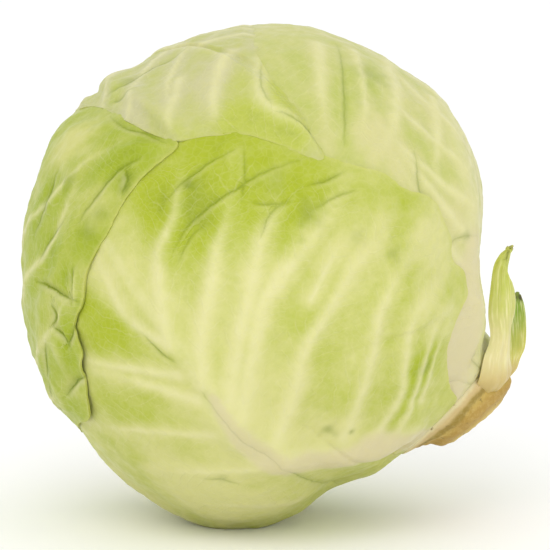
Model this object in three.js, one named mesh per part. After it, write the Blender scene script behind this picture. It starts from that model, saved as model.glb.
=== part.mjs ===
// A cabbage head as cut and trimmed: a tight heart of folded leaves, five wrapper leaves that
// lie over one another round it, the cut stump that they grow from, and the torn stalks of two
// outer leaves. It lies on a small flat spot. Millimetres, +Z up, and the origin is the middle
// of that flat spot.
//
// A place on the head is a direction from its middle, given in degrees by a bearing and a
// reach, as one sees the head from the front. The bearing counts round the outline from the
// right through the top. The reach counts from the point nearest to the viewer, at 0, over the
// outline, at 90, to the far side, at 180.

import * as THREE from "three";

const { degToRad, radToDeg, lerp, smoothstep } = THREE.MathUtils;

// The head as a whole.
const HEAD_DEPTH = 84; // from its middle to its front
const REST_HEIGHT = 88.3; // of its middle above the surface that it lies on
const FLAT_SPOT = { x: -3, y: 0 }; // middle of the flat spot, from under the head's middle
const FRONT_VIEW_TILT = 8; // degrees that the front view looks down
const STUMP = { bearing: -34, reach: 92 }; // where the stump stands
const OUTLINE = [
  [0, 81.8], [10, 84.1], [20, 88.8], [30, 91.6], [40, 92], [60, 92.2], [70, 92.4],
  [80, 92.5], [90, 91.4], [98, 88.8], [106, 87.4], [115, 87.3], [128, 86.3], [137, 87.8],
  [145, 88.4], [155, 86.6], [180, 84.3], [200, 84.6], [225, 84.8], [245, 87.8], [260, 90.7],
  [270, 89.8], [280, 86.4], [290, 81.4], [304, 84.6], [335, 85], [347, 86], [355, 83.5],
];

// The wrapper leaves.
const WRAP = 4.3; // that the leaves add to the heart
const NECK_DIP = 4; // that the heart gives way to the thick leaf stalks round the stump
const NECK_DIP_SPREAD = 30; // degrees
const GAP = 0.85; // between one leaf and the next
const MARGIN_THICKNESS = 0.8;
const BLADE_THICKNESS = 1.4;
const BLADE_TAPER = 30; // from the margin to where the blade has its full thickness
const COVER_RAMP = 12; // from a leaf's margin to where the leaf over it lies down again
const COLLAR = 16.5; // degrees round the stump that the leaves leave free
const SIDE_RIB = { height: 1.1, width: 5 };
const RIB_SAMPLES = 36; // points along a rib's line
const MARGIN_SAMPLES = 720; // points round a margin, to space its corners evenly
const WAVE_LENGTHS = { short: 5.2, long: 31 }; // degrees of reach for one radian of a wave
const CURL_WIDTH = 22; // of the strip along a margin that curls
const CURL = { mean: 0.55, swing: 0.45, count: 14 }; // shares of a leaf's lift, and curls round it
const CALM_MIDDLE = 20; // degrees round a leaf's middle over which its waves fade in
const FLATTENED = 12; // height below which leaves are pressed flat by the head's weight
const HEART_STEP = 0.9; // that the heart's leaf edges stand in
const HEART_STEP_LENGTH = 60; // degrees from the stump over which a leaf edge winds once
const HEART_COLUMNS = 30;
const HEART_ROWS = 18;
const ARC = 1.5; // millimetres along the head for one degree of reach

// The stump.
const STUMP_SIDES = 28;
const STUMP_NECK = 15.9; // degrees, just inside the leaves' collar
const CUT_MIDDLE = { x: 77.5, y: 3, z: -49.3 }; // from the head's middle, before the view tilt
const CUT_BEARING = -50; // that the cut face looks to
const CUT_RADIUS = 18.6;
const CUT_DOME = 4.4;
const CUT_UNEVEN = { three: 0.035, five: 0.02 }; // shares of its radius, in three and five lobes
const RIM_ROUNDING = 1.2; // that the cut's rim lies under its face
const LEAF_SCAR = 0.8; // height of the scars round the stump
const NECK_RISE = { mean: 8.7, slant: 3.8 }; // over the heart, higher on the stalks' side
const NECK_ROOT = 5; // over the heart, where the neck stands upright

const LEAVES = [
  {
    name: "leaf_back",
    middle: [250, 165],
    rings: 11,
    margin: [
      [-160, 74], [-120, 75], [-80, 76], [-40, 78], [-15, 84], [0, 88], [15, 84], [40, 78],
      [80, 76], [120, 74], [160, 75],
    ],
    rib: [[318, 108], [300, 124], [268, 150], [215, 165], [160, 140]],
    ribHeight: 5,
    ribWidth: 9,
    lift: 0,
    wave: 0.5,
    colour: 0xdfe0a8,
  },
  {
    name: "leaf_right",
    middle: [45, 76],
    rings: 13,
    margin: [
      [-160, 56], [-142, 58], [-129, 58], [-101, 54], [-77, 51], [-60, 55], [-50, 62],
      [-42, 72], [-34, 79], [-20, 82], [-8, 82], [8, 82], [30, 76], [60, 68], [90, 64], [120, 61],
      [150, 59], [174, 57],
    ],
    rib: [[331, 80], [343, 74], [356, 69], [12, 66], [30, 67], [45, 84], [50, 102]],
    ribHeight: 6,
    ribWidth: 13,
    lift: 0,
    wave: 0.6,
    colour: 0xdcd6b6,
  },
  {
    name: "leaf_front",
    middle: [262, 22],
    rings: 18,
    margin: [
      [9, 67], [13, 62.5], [19, 59.4], [26, 56.8], [32, 58], [36, 61], [39, 65.5], [44, 67], [50, 64],
      [56, 65], [61, 64], [67, 64],
      [76, 59], [84, 58], [94, 55], [109, 55], [121, 58], [140, 60], [160, 58], [176, 55],
      [-172, 53], [-143, 57], [-125, 64], [-112, 76], [-93, 88], [-58, 95], [-26, 88], [-8, 80],
    ],
    rib: [[313, 67], [303, 61], [294, 56], [283, 50], [270, 42], [256, 32], [232, 25], [196, 26], [167, 38]],
    ribHeight: 4.2,
    ribWidth: 9,
    sideRibs: [
      [[246, 27], [227, 17], [145, 10], [106, 18], [99, 32]],
      [[256, 33], [258, 15], [76, 4], [71, 14], [77, 26]],
      [[266, 40], [273, 14], [351, 6], [35, 18], [47, 31]],
      [[280, 48], [300, 22], [343, 19], [13, 27], [27, 37]],
      [[297, 56], [308, 40], [336, 32], [358, 34], [15, 44]],
      [[226, 25], [163, 22], [142, 23], [122, 32]],
      [[262, 37], [240, 36], [226, 40], [209, 50]],
      [[278, 48], [262, 52], [242, 61], [230, 70]],
    ],
    lift: 0,
    wave: 0.6,
    colour: 0xdbe08f,
  },
  {
    name: "leaf_left",
    middle: [190, 118],
    rings: 15,
    margin: [
      [178, 76], [170, 84.5], [164, 91], [158, 97.5], [154, 100.5], [150, 97], [146, 92.5], [141, 88.5], [134, 83.4],
      [130, 79], [125, 75], [119, 73], [113, 69.3], [107, 70.5], [102, 67.8], [97, 67], [92, 65],
      [87, 62.5], [83, 56], [78, 50.5], [70, 44],
      [62, 40], [54, 39], [42, 42], [31, 46], [20, 57], [11, 76], [4, 104], [-5, 106], [-16, 86], [-40, 68],
      [-70, 62], [-100, 62], [-130, 64], [-155, 65],
    ],
    rib: [[286, 103], [262, 128], [228, 136], [200, 125], [178, 108], [165, 92]],
    ribHeight: 4.5,
    ribWidth: 8,
    lift: 1.7,
    wave: 1.2,
    colour: 0xc3cc6a,
  },
  {
    name: "leaf_top",
    middle: [130, 112],
    rings: 18,
    margin: [
      [-151, 35], [-147, 44], [-144.5, 55], [-142, 64], [-138.5, 72.5], [-134, 75.5], [-126, 82], [-119, 93],
      [-115, 98.5], [-112.5, 97], [-111, 86], [-110, 74], [-103, 62], [-84, 47], [-70, 44],
      [-58, 48], [-46, 60], [-34, 80], [-24, 100], [-14, 118], [-5, 134], [5, 134], [14, 118],
      [25, 100], [38, 84], [55, 70], [78, 58], [93, 46], [107, 33], [133, 21], [155, 18],
      [180, 18.5], [-163, 24], [-157, 30],
    ],
    rib: [[12, 106], [34, 124], [75, 133], [105, 120], [112, 98], [108, 78], [98, 60]],
    ribHeight: 4.5,
    ribWidth: 9,
    lift: 0.5,
    wave: 0.7,
    colour: 0xd5d2a6,
  },
];

// The torn stalks, by the left and right edge of each from its foot to its tip, from the
// head's middle and before the view tilt.
const STALKS = [
  {
    name: "torn_stalk_front",
    left: [
      [78.6, -20.2, -35.8], [80, -19.4, -28.5], [82.6, -17.8, -21.5], [82.4, -17.2, -13.5],
      [83.3, -15.5, -5], [85.1, -14, 5.5], [89.6, -12, 10.2],
    ],
    right: [
      [90.6, -8, -33], [90.2, -8.5, -28], [90.5, -10, -19], [92.2, -11, -12], [92, -11.5, -5],
      [90.2, -11.8, 0.5], [90.4, -11.5, 10.4],
    ],
    bow: 2.2,
    footThickness: 4.2,
    tipThickness: 0.8,
    rows: 14,
    columns: 6,
    colour: 0xd7d082,
  },
  {
    name: "torn_stalk_rear",
    left: [
      [90.2, 3, -32.5], [89.4, 1.5, -27], [89.6, 1.5, -18], [90.6, 2, -9], [91.8, 3, -4.8],
    ],
    right: [
      [94.8, 12, -31], [97.2, 11, -25.5], [97.5, 10, -17.5], [97, 9.5, -10.5], [96, 9, -7],
    ],
    bow: -1.8,
    footThickness: 3.6,
    tipThickness: 1,
    rows: 10,
    columns: 5,
    colour: 0x87a01e,
  },
];

// The unit direction of a bearing and a reach, with x to the right, y away from the viewer
// and z up in the front view.
function direction(bearing, reach) {
  const round = degToRad(bearing);
  const out = degToRad(reach);
  return new THREE.Vector3(
    Math.sin(out) * Math.cos(round),
    -Math.cos(out),
    Math.sin(out) * Math.sin(round),
  );
}

// A smooth closed curve of a value over an angle, through [angle, value] pairs.
function ringCurve(pairs) {
  const knots = [...pairs].sort((a, b) => a[0] - b[0]);
  const count = knots.length;
  const knot = (index) => {
    const laps = Math.floor(index / count);
    const [angle, value] = knots[index - laps * count];
    return [angle + 360 * laps, value];
  };
  return (angle) => {
    const wound = THREE.MathUtils.euclideanModulo(angle - knots[0][0], 360) + knots[0][0];
    let index = 0;
    while (knot(index + 1)[0] <= wound) index += 1;
    const [before, from, to, after] = [-1, 0, 1, 2].map((step) => knot(index + step));
    const span = to[0] - from[0];
    const part = (wound - from[0]) / span;
    const leave = ((to[1] - before[1]) / (to[0] - before[0])) * span;
    const arrive = ((after[1] - from[1]) / (after[0] - from[0])) * span;
    return (
      from[1] * (2 * part ** 3 - 3 * part ** 2 + 1) +
      leave * (part ** 3 - 2 * part ** 2 + part) +
      to[1] * (3 * part ** 2 - 2 * part ** 3) +
      arrive * (part ** 3 - part ** 2)
    );
  };
}

const stumpAxis = direction(STUMP.bearing, STUMP.reach);
const outlineAt = ringCurve(OUTLINE);

// The size of the whole head in a direction: its outline seen from the front, and its depth.
function headRadius(ray) {
  const bearing = radToDeg(Math.atan2(ray.z, ray.x));
  return lerp(HEAD_DEPTH, outlineAt(bearing), 1 - ray.y ** 2);
}

function heartRadius(ray) {
  const fromStump = radToDeg(ray.angleTo(stumpAxis)) / NECK_DIP_SPREAD;
  return headRadius(ray) - WRAP - NECK_DIP * Math.exp(-(fromStump ** 2));
}

// A rib: a smooth line over the head, from the stump towards a leaf's margin.
class Rib {
  constructor(places, height, width) {
    this.height = height;
    this.width = width;
    const path = new THREE.CatmullRomCurve3(places.map((place) => direction(...place)));
    this.rays = path.getPoints(RIB_SAMPLES).map((point) => point.normalize());
  }

  // How far it stands out in a direction: full at its foot and low at its tip.
  rise(ray) {
    let nearest = 0;
    let least = Infinity;
    this.rays.forEach((point, index) => {
      const away = point.distanceToSquared(ray);
      if (away < least) [least, nearest] = [away, index];
    });
    const along = nearest / (this.rays.length - 1);
    const width = this.width * lerp(1.15, 0.6, along);
    const away = (Math.sqrt(least) * radToDeg(ARC)) / width;
    return this.height * lerp(1, 0.15, along) * Math.exp(-(away ** 2));
  }
}

// One wrapper leaf. A place on it is a turn about its middle, counted from the side of the
// stump, and a reach from its middle, both in degrees.
class Leaf {
  constructor(shape) {
    Object.assign(this, shape);
    this.centre = direction(...shape.middle);
    this.toward = stumpAxis.clone().addScaledVector(this.centre, -stumpAxis.dot(this.centre)).normalize();
    this.side = this.centre.clone().cross(this.toward);
    this.marginAt = ringCurve(shape.margin);
    this.ribs = [new Rib(shape.rib, shape.ribHeight, shape.ribWidth)];
    for (const places of shape.sideRibs ?? []) {
      this.ribs.push(new Rib(places, SIDE_RIB.height, SIDE_RIB.width));
    }
    this.evenTurns = this.spreadTurns(MARGIN_SAMPLES);
  }

  at(turn, reach) {
    const round = degToRad(turn);
    const out = degToRad(reach);
    return this.centre.clone().multiplyScalar(Math.cos(out))
      .addScaledVector(this.toward, Math.cos(round) * Math.sin(out))
      .addScaledVector(this.side, Math.sin(round) * Math.sin(out));
  }

  locate(ray) {
    return {
      turn: radToDeg(Math.atan2(ray.dot(this.side), ray.dot(this.toward))),
      reach: radToDeg(this.centre.angleTo(ray)),
    };
  }

  // The margin's reach, cut off by the round collar that is left free for the stump.
  edge(turn) {
    const apart = this.centre.angleTo(stumpAxis);
    const along = Math.cos(apart);
    const across = Math.sin(apart) * Math.cos(degToRad(turn));
    const size = Math.hypot(along, across);
    const margin = this.marginAt(turn);
    const limit = Math.cos(degToRad(COLLAR)) / size;
    if (limit > 1 || across < 0) return margin;
    return Math.min(margin, radToDeg(Math.atan2(across, along) - Math.acos(limit)));
  }

  // Millimetres inside the margin, less than 0 outside it.
  inset(ray) {
    const { turn, reach } = this.locate(ray);
    const slope = (this.edge(turn + 1) - this.edge(turn - 1)) / degToRad(2);
    const edge = this.edge(turn);
    const flare = slope / radToDeg(Math.sin(degToRad(edge)));
    return ((edge - reach) * ARC) / Math.hypot(1, flare);
  }

  thickness(ray) {
    const body = smoothstep(this.inset(ray), 0, BLADE_TAPER);
    const ribs = this.ribs.reduce((sum, rib) => sum + rib.rise(ray), 0);
    return lerp(MARGIN_THICKNESS, BLADE_THICKNESS, body) + ribs;
  }

  // The room under the leaf: its waves all over and the curl of its margin.
  room(ray) {
    const inset = this.inset(ray);
    const { turn, reach } = this.locate(ray);
    const round = degToRad(turn);
    const calm = Math.min(1, reach / CALM_MIDDLE);
    const short = Math.sin(reach / WAVE_LENGTHS.short + 2 * round);
    const waves = calm * short * Math.sin(reach / WAVE_LENGTHS.long + 3 * round);
    const lifted = CURL.mean + CURL.swing * Math.sin(CURL.count * round);
    const curl = (1 - smoothstep(inset, 0, CURL_WIDTH)) * lifted;
    return this.wave * 0.5 * (1 + waves) + this.lift * curl;
  }

  // From 0 well outside the margin to 1 inside it, for the leaves that lie over this one.
  cover(ray) {
    return smoothstep(this.inset(ray), -COVER_RAMP, 0);
  }

  // Turns that put equal lengths of margin between them.
  spreadTurns(samples) {
    const lengths = [0];
    let last = this.at(0, this.edge(0));
    for (let step = 1; step <= samples; step += 1) {
      const turn = (360 * step) / samples;
      const next = this.at(turn, this.edge(turn));
      lengths.push(lengths[step - 1] + next.distanceTo(last) + 1 / samples);
      last = next;
    }
    return lengths.map((length) => length / lengths[samples]);
  }

  turnAt(part) {
    const after = this.evenTurns.findIndex((share) => share > part);
    const [low, high] = [this.evenTurns[after - 1], this.evenTurns[after]];
    return (360 * (after - 1 + (part - low) / (high - low))) / (this.evenTurns.length - 1);
  }
}

const leaves = LEAVES.map((shape) => new Leaf(shape));

// The height over the heart of the room that the leaves below a level fill.
function stackHeight(ray, level) {
  return leaves.slice(0, level).reduce((height, leaf) => {
    const cover = leaf.cover(ray);
    return cover === 0 ? height : height + cover * (leaf.room(ray) + leaf.thickness(ray) + GAP);
  }, GAP);
}

// A point about the head's middle, as the front view has it, turned and moved to where it lies.
function settle(point) {
  const tilt = degToRad(FRONT_VIEW_TILT);
  return new THREE.Vector3(
    point.x - FLAT_SPOT.x,
    point.y * Math.cos(tilt) + point.z * Math.sin(tilt) - FLAT_SPOT.y,
    point.z * Math.cos(tilt) - point.y * Math.sin(tilt) + REST_HEIGHT,
  );
}

// The point of the part at a direction and a height over the heart. Near the surface that the
// head lies on, the leaves are pressed flat and keep their order.
function placed(ray, height) {
  const point = settle(ray.clone().multiplyScalar(heartRadius(ray) + height));
  const under = point.z < FLATTENED ? stackHeight(ray, leaves.length) - GAP - height : 0;
  if (point.z < under) point.z = under;
  return point;
}

// A closed body from points and triangles.
function body(points, triangles) {
  const geometry = new THREE.BufferGeometry();
  geometry.setAttribute("position", new THREE.Float32BufferAttribute(points.flatMap((p) => p.toArray()), 3));
  geometry.setIndex(triangles.flat());
  geometry.computeVertexNormals();
  return geometry;
}

// The triangles of a disc of rings, with six more points in each ring than in the last.
function discTriangles(rings) {
  const index = (ring, step) => (ring === 0 ? 0 : 1 + 3 * ring * (ring - 1) + (step % (6 * ring)));
  const triangles = [];
  for (let ring = 1; ring <= rings; ring += 1) {
    for (let sector = 0; sector < 6; sector += 1) {
      for (let step = 0; step < ring; step += 1) {
        const outer = sector * ring + step;
        const inner = sector * (ring - 1) + step;
        triangles.push([index(ring, outer), index(ring, outer + 1), index(ring - 1, inner)]);
        if (step === ring - 1) continue;
        triangles.push([index(ring - 1, inner), index(ring, outer + 1), index(ring - 1, inner + 1)]);
      }
    }
  }
  return triangles;
}

// A blade with a face, a back and a rim, from the points of both and their shared triangles.
function blade(face, back, triangles, rim) {
  const behind = (index) => index + face.length;
  const wall = rim.flatMap((near, place) => {
    const next = rim[(place + 1) % rim.length];
    return [[next, near, behind(near)], [next, behind(near), behind(next)]];
  });
  const backs = triangles.map(([a, b, c]) => [behind(c), behind(b), behind(a)]);
  return body([...face, ...back], [...triangles, ...backs, ...wall]);
}

function leafGeometry(leaf, level) {
  const rays = [];
  for (let ring = 0; ring <= leaf.rings; ring += 1) {
    const steps = Math.max(1, 6 * ring);
    for (let step = 0; step < steps; step += 1) {
      const turn = leaf.turnAt(step / steps);
      rays.push(leaf.at(turn, (leaf.edge(turn) * ring) / leaf.rings));
    }
  }
  const floors = rays.map((ray) => stackHeight(ray, level) + leaf.room(ray));
  const face = rays.map((ray, index) => placed(ray, floors[index] + leaf.thickness(ray)));
  const back = rays.map((ray, index) => placed(ray, floors[index]));
  const rimLength = 6 * leaf.rings;
  const rim = Array.from({ length: rimLength }, (_, step) => rays.length - rimLength + step);
  return blade(face, back, discTriangles(leaf.rings), rim);
}

// The heart: the tight inner leaves, whose overlapping edges wind over it as low steps.
function heartGeometry() {
  const columns = HEART_COLUMNS;
  const rows = HEART_ROWS;
  const step = (ray) => {
    const height = radToDeg(stumpAxis.angleTo(ray)) / HEART_STEP_LENGTH;
    const round = Math.atan2(ray.y, ray.dot(direction(STUMP.bearing + 90, 90)));
    const turns = THREE.MathUtils.euclideanModulo(1.5 * round / Math.PI + height, 1);
    return smoothstep(turns, 0, 0.25) * (1 - smoothstep(turns, 0.3, 1));
  };
  const pole = stumpAxis;
  const across = direction(STUMP.bearing + 90, 90);
  const along = pole.clone().cross(across);
  const ray = (row, column) => {
    const out = (Math.PI * row) / rows;
    const round = (2 * Math.PI * column) / columns;
    return pole.clone().multiplyScalar(Math.cos(out))
      .addScaledVector(across, Math.sin(out) * Math.cos(round))
      .addScaledVector(along, Math.sin(out) * Math.sin(round));
  };
  const point = (way) => placed(way, -HEART_STEP * step(way));
  const points = [point(ray(0, 0))];
  for (let row = 1; row < rows; row += 1) {
    for (let column = 0; column < columns; column += 1) points.push(point(ray(row, column)));
  }
  points.push(point(ray(rows, 0)));
  return body(points, capTriangles(rows, columns));
}

// The triangles of a ball or a turned body: two middle points with rings of points between.
function capTriangles(rows, columns) {
  const last = 1 + (rows - 1) * columns;
  const index = (row, column) => 1 + (row - 1) * columns + (column % columns);
  const triangles = [];
  for (let column = 0; column < columns; column += 1) {
    triangles.push([0, index(1, column), index(1, column + 1)]);
    for (let row = 1; row < rows - 1; row += 1) {
      triangles.push([index(row, column), index(row + 1, column), index(row + 1, column + 1)]);
      triangles.push([index(row, column), index(row + 1, column + 1), index(row, column + 1)]);
    }
    triangles.push([index(rows - 1, column), last, index(rows - 1, column + 1)]);
  }
  return triangles;
}

// The stump: a neck among the leaf stalks, a shoulder with leaf scars and the domed cut.
function stumpGeometry() {
  const up = direction(STUMP.bearing + 90, 90);
  const front = stumpAxis.clone().cross(up);
  const cutAxis = direction(CUT_BEARING, 90);
  const cutUp = direction(CUT_BEARING + 90, 90);
  const cutFront = cutAxis.clone().cross(cutUp);
  const middle = new THREE.Vector3(CUT_MIDDLE.x, CUT_MIDDLE.y, CUT_MIDDLE.z);
  const foot = (degrees, round) => {
    const out = degToRad(degrees);
    return stumpAxis.clone().multiplyScalar(Math.cos(out))
      .addScaledVector(up, Math.sin(out) * Math.cos(round))
      .addScaledVector(front, Math.sin(out) * Math.sin(round));
  };
  const onHeart = (degrees, round, height) => {
    const ray = foot(degrees, round);
    return settle(ray.multiplyScalar(heartRadius(ray) + height));
  };
  const onCut = (share, round, dome) => {
    const lobes = CUT_UNEVEN.three * Math.sin(3 * round + 1) + CUT_UNEVEN.five * Math.sin(5 * round);
    const radius = CUT_RADIUS * share * (1 + lobes);
    return settle(middle.clone().addScaledVector(cutAxis, dome)
      .addScaledVector(cutUp, radius * Math.cos(round))
      .addScaledVector(cutFront, radius * Math.sin(round)));
  };
  const scar = (round, shift) => LEAF_SCAR * Math.sin(4 * round + shift);
  const rim = (round) => onCut(1, round, scar(round, 0) - RIM_ROUNDING);
  const neck = (round) => {
    const rise = NECK_RISE.mean + NECK_RISE.slant * Math.cos(round);
    return onHeart(STUMP_NECK, round, rise + scar(round, 2) / 2);
  };
  const stations = [
    (round) => onCut(0.5, round, CUT_DOME * 0.85),
    (round) => onCut(0.85, round, CUT_DOME * 0.4),
    rim,
    (round) => rim(round).lerp(neck(round), 0.45),
    neck,
    (round) => onHeart(STUMP_NECK, round, NECK_ROOT - 2 + Math.cos(round)),
    (round) => onHeart(STUMP_NECK, round, GAP),
    (round) => onHeart(STUMP_NECK / 2, round, GAP),
  ];
  const points = [onCut(0, 0, CUT_DOME)];
  for (const station of stations) {
    for (let side = 0; side < STUMP_SIDES; side += 1) points.push(station((2 * Math.PI * side) / STUMP_SIDES));
  }
  points.push(onHeart(0, 0, GAP));
  return body(points, capTriangles(stations.length + 1, STUMP_SIDES));
}

// A torn stalk: a bowed strap between its two edges, thick at its foot and thin at its tip.
function stalkGeometry(stalk) {
  const edge = (places) => new THREE.CatmullRomCurve3(places.map((place) => new THREE.Vector3(...place)));
  const [left, right] = [edge(stalk.left), edge(stalk.right)];
  const { rows, columns } = stalk;
  const face = [];
  const back = [];
  for (let row = 0; row <= rows; row += 1) {
    const along = row / rows;
    const [from, to] = [left.getPoint(along), right.getPoint(along)];
    const out = to.clone().sub(from).cross(left.getTangent(along)).normalize();
    const thickness = lerp(stalk.footThickness, stalk.tipThickness, smoothstep(along, 0, 0.8));
    for (let column = 0; column <= columns; column += 1) {
      const across = column / columns;
      const hump = 4 * across * (1 - across);
      const middle = from.clone().lerp(to, across);
      const half = (thickness * lerp(0.45, 1, hump)) / 2;
      face.push(settle(middle.clone().addScaledVector(out, stalk.bow * hump + half)));
      back.push(settle(middle.clone().addScaledVector(out, stalk.bow * hump - half)));
    }
  }
  const index = (row, column) => row * (columns + 1) + column;
  const triangles = [];
  for (let row = 0; row < rows; row += 1) {
    for (let column = 0; column < columns; column += 1) {
      triangles.push([index(row, column), index(row, column + 1), index(row + 1, column + 1)]);
      triangles.push([index(row, column), index(row + 1, column + 1), index(row + 1, column)]);
    }
  }
  const rim = [];
  for (let column = 0; column < columns; column += 1) rim.push(index(0, column));
  for (let row = 0; row < rows; row += 1) rim.push(index(row, columns));
  for (let column = columns; column > 0; column -= 1) rim.push(index(rows, column));
  for (let row = rows; row > 0; row -= 1) rim.push(index(row, 0));
  return blade(face, back, triangles, rim);
}

function piece(name, geometry, colour, roughness) {
  const material = new THREE.MeshStandardMaterial({ color: colour, roughness, metalness: 0 });
  const mesh = new THREE.Mesh(geometry, material);
  mesh.name = name;
  return mesh;
}

const cabbage = new THREE.Group();
cabbage.add(piece("heart", heartGeometry(), 0xe6e4c0, 0.5));
cabbage.add(piece("stump", stumpGeometry(), 0xc8af64, 0.75));
leaves.forEach((leaf, level) => {
  cabbage.add(piece(leaf.name, leafGeometry(leaf, level), leaf.colour, 0.45));
});
for (const stalk of STALKS) cabbage.add(piece(stalk.name, stalkGeometry(stalk), stalk.colour, 0.5));

export default cabbage;
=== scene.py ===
"""The looks of a cabbage head: five wrapper leaves, the stump, two torn stalks and the stage."""

import math

import bpy
import numpy as np
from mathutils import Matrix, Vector


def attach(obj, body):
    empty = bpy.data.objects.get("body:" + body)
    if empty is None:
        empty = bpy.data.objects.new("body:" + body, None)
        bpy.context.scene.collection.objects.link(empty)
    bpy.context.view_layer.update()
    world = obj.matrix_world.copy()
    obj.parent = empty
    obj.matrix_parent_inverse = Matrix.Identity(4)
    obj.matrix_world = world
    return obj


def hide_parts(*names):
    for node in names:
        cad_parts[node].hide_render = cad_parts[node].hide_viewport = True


bl_info = {
    "name": "Cabbage head",
    "version": (1, 0, 0),
    "blender": (4, 5, 0),
    "location": "3D View > Sidebar > Cabbage",
    "description": "Builds the leaves, stump and torn stalks of a cabbage head round its solid model",
    "category": "Add Mesh",
}

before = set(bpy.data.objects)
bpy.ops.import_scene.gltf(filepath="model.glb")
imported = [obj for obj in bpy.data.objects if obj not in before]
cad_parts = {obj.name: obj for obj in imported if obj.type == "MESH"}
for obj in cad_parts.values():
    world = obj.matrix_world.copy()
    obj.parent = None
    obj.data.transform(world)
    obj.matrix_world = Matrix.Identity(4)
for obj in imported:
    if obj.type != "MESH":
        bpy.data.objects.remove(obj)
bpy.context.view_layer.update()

# A place on the head is a bearing and a reach in degrees, as in the solid model. The bearing
# counts round the outline from the right through the top. The reach counts from the point
# nearest to the viewer over the outline, at 90, to the far side. Lengths are in millimetres
# until a mesh is made.
MM = 0.001
ARC = 1.5  # millimetres along the head for one degree of reach
REST_HEIGHT = 88.3
FLAT_SPOT = (-3.0, 0.0)
FRONT_VIEW_TILT = 8.0
HEAD_DEPTH = 84.0
OUTLINE = [
    (0, 81.8), (10, 84.1), (20, 88.8), (30, 91.6), (40, 92), (60, 92.2), (70, 92.4), (80, 92.5),
    (90, 91.4), (98, 88.8), (106, 87.4), (115, 87.3), (128, 86.3), (137, 87.8), (145, 88.4),
    (155, 86.6), (180, 84.3), (200, 84.6), (225, 84.8), (245, 87.8), (260, 90.7), (270, 89.8),
    (280, 86.4), (290, 81.4), (304, 84.6), (335, 85), (347, 86), (355, 83.5),
]
STUMP = (-34, 92)
WRAP = 4.3
NECK_DIP = 4.0
NECK_DIP_SPREAD = 30.0
GAP = 0.85
MARGIN_THICKNESS = 0.8
BLADE_THICKNESS = 1.4
BLADE_TAPER = 30.0
COVER_RAMP = 12.0
COLLAR = 16.5
SIDE_RIB = (1.1, 5.0)
CURL_WIDTH = 22.0  # of the strip along a margin that curls
CALM_MIDDLE = 20.0  # degrees round a leaf's middle over which its waves fade in
FLATTENED = 12.0  # height below which leaves are pressed flat by the head's weight
PRESSED_REACH = 11.0  # of the strip along a margin that lies down on the leaf under it
PRESSED_GAP = 0.2
SKIN_COLLAR = 13.0  # at which the skins end inside the stump
STUMP_NECK = 15.9
NECK_RISE = (8.7, 3.8)  # over the heart: its mean, and how much higher it is on the stalks' side
SEEN_RADIUS = 86.5  # of the head, about, for marks that the front shows
SEEN_DISTANCE = 1200.0  # of the eye from the head's middle
SIGHT_ROUNDS = 5  # in which a line of sight settles on a leaf

# How leaves and their ribs are shaped.
RIB_SAMPLES = 36
RIB_WIDTHS = (1.15, 0.6)  # at a rib's foot and tip, as parts of its width
RIB_TIP = 0.15  # of a rib's height is left at its tip
TURN_SAMPLES = 1441  # along a margin, which space its points evenly
LEAST_STEP = 1e-4  # between two of them, so that none fall together
WAVE_REACHES = (5.2, 31)  # degrees of reach for a radian of the two waves in a leaf
CURLS = (0.55, 0.45, 14)  # of a margin: their mean, their swing and their number
PRESSED_CLEAR = (5, 18)  # degrees past the collar over which leaves start to lie down
MARGIN_STEP = 5.0  # of the strip over which a leaf's height reaches the leaves above it
SUNK_STRIP = 4.5  # of the strip along a margin that sinks into the leaf under it
RIPPLES = 7  # waves in one layer of unevenness
RIPPLE_GAIN = 1.9  # that makes their mean swing from about -1 to 1

# How much of each mark there is, with widths and lengths in millimetres.
LINE_SAMPLES = 28
FAR = 99.0  # from any vein
FOLD_FAR = 9.0  # from any fold
FAN_END = 0.92  # of the midrib's length has veins that fan out
FAN_BEND = 0.5  # radians that such a vein bends towards the leaf's tip
FAN_SHORTEST = 0.4  # radians of length that the veins shorten towards
FAN_WIDTHS = (2.2, 1.5, 0.8)  # of the first vein, of the last one, and of every tip
VEIN_WANDER = 0.315  # by which a vein's edges waver
VEIN_FADE = (0.35, 1.0)  # of a vein's length over which it fades out
MIDRIB_WIDTHS = (0.95, 0.2)  # at foot and tip, as parts of the rib's width
MIDRIB_TIP = 0.55  # of its paleness is left at a midrib's tip
BRANCH_SHIFT = 2.3  # by which the fine branches of the next vein start later
SWELL = 1.4  # times a fold's width is the width of its dip
CREASE_REACH = (3, 4.5)  # beside its fold, over which a crease's strength fades out
UNPRESSED = (0.35, 14)  # part of the crinkle that a margin keeps, and where all of it is back
RELIEF = 0.55  # height of the veins
BRANCHED = (0.04, 0.9)  # from and up to which part of its length a vein bears fine branches
BRANCH_ROOM = (0.2, 2.5)  # by which the next vein is further off, over which branches fade in
FOLD_ENDS = 0.04  # of a fold's length is cut off at each end of its taper
# Strength of the painted shade over a fold: without depth, and for each millimetre of it.
FOLD_PAINTED_SHADE = (0.35, 0.4)  # of a fold without depth, and for each millimetre of it
# Sharpness of the painted shade line along a fold's crease, in the same way.
CREASE_SHARP = (0.1, 0.75)  # in the same way
# Strength of the painted highlight along a fold that rises, for each millimetre of its rise.
RIDGE_HIGHLIGHT = 0.45  # for each millimetre that a fold rises
STAIN_RAGGED = 0.35  # of its radius by which a stain's edge goes in and out
WHITE_UNEVEN = 0.12  # of its width, in the same way
WHITE_TIP = 0.7  # of the white is left at its tip

# Unevenness, as the height, size and seed of each layer of ripples.
CRINKLES = [(0.3, 13, 21), (0.16, 6, 31)]
BLISTERS = [(0.1, 4.2, 41)]
FRILL = [(1, 14, 51)]
FINE_FRILL = [(0.5, 5, 56)]
UNSEEN_MARGIN = [(4.5, 42, 58), (1.1, 13, 59)]
STUMP_BUMPS = [(0.3, 7, 61), (0.15, 3, 62)]

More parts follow.
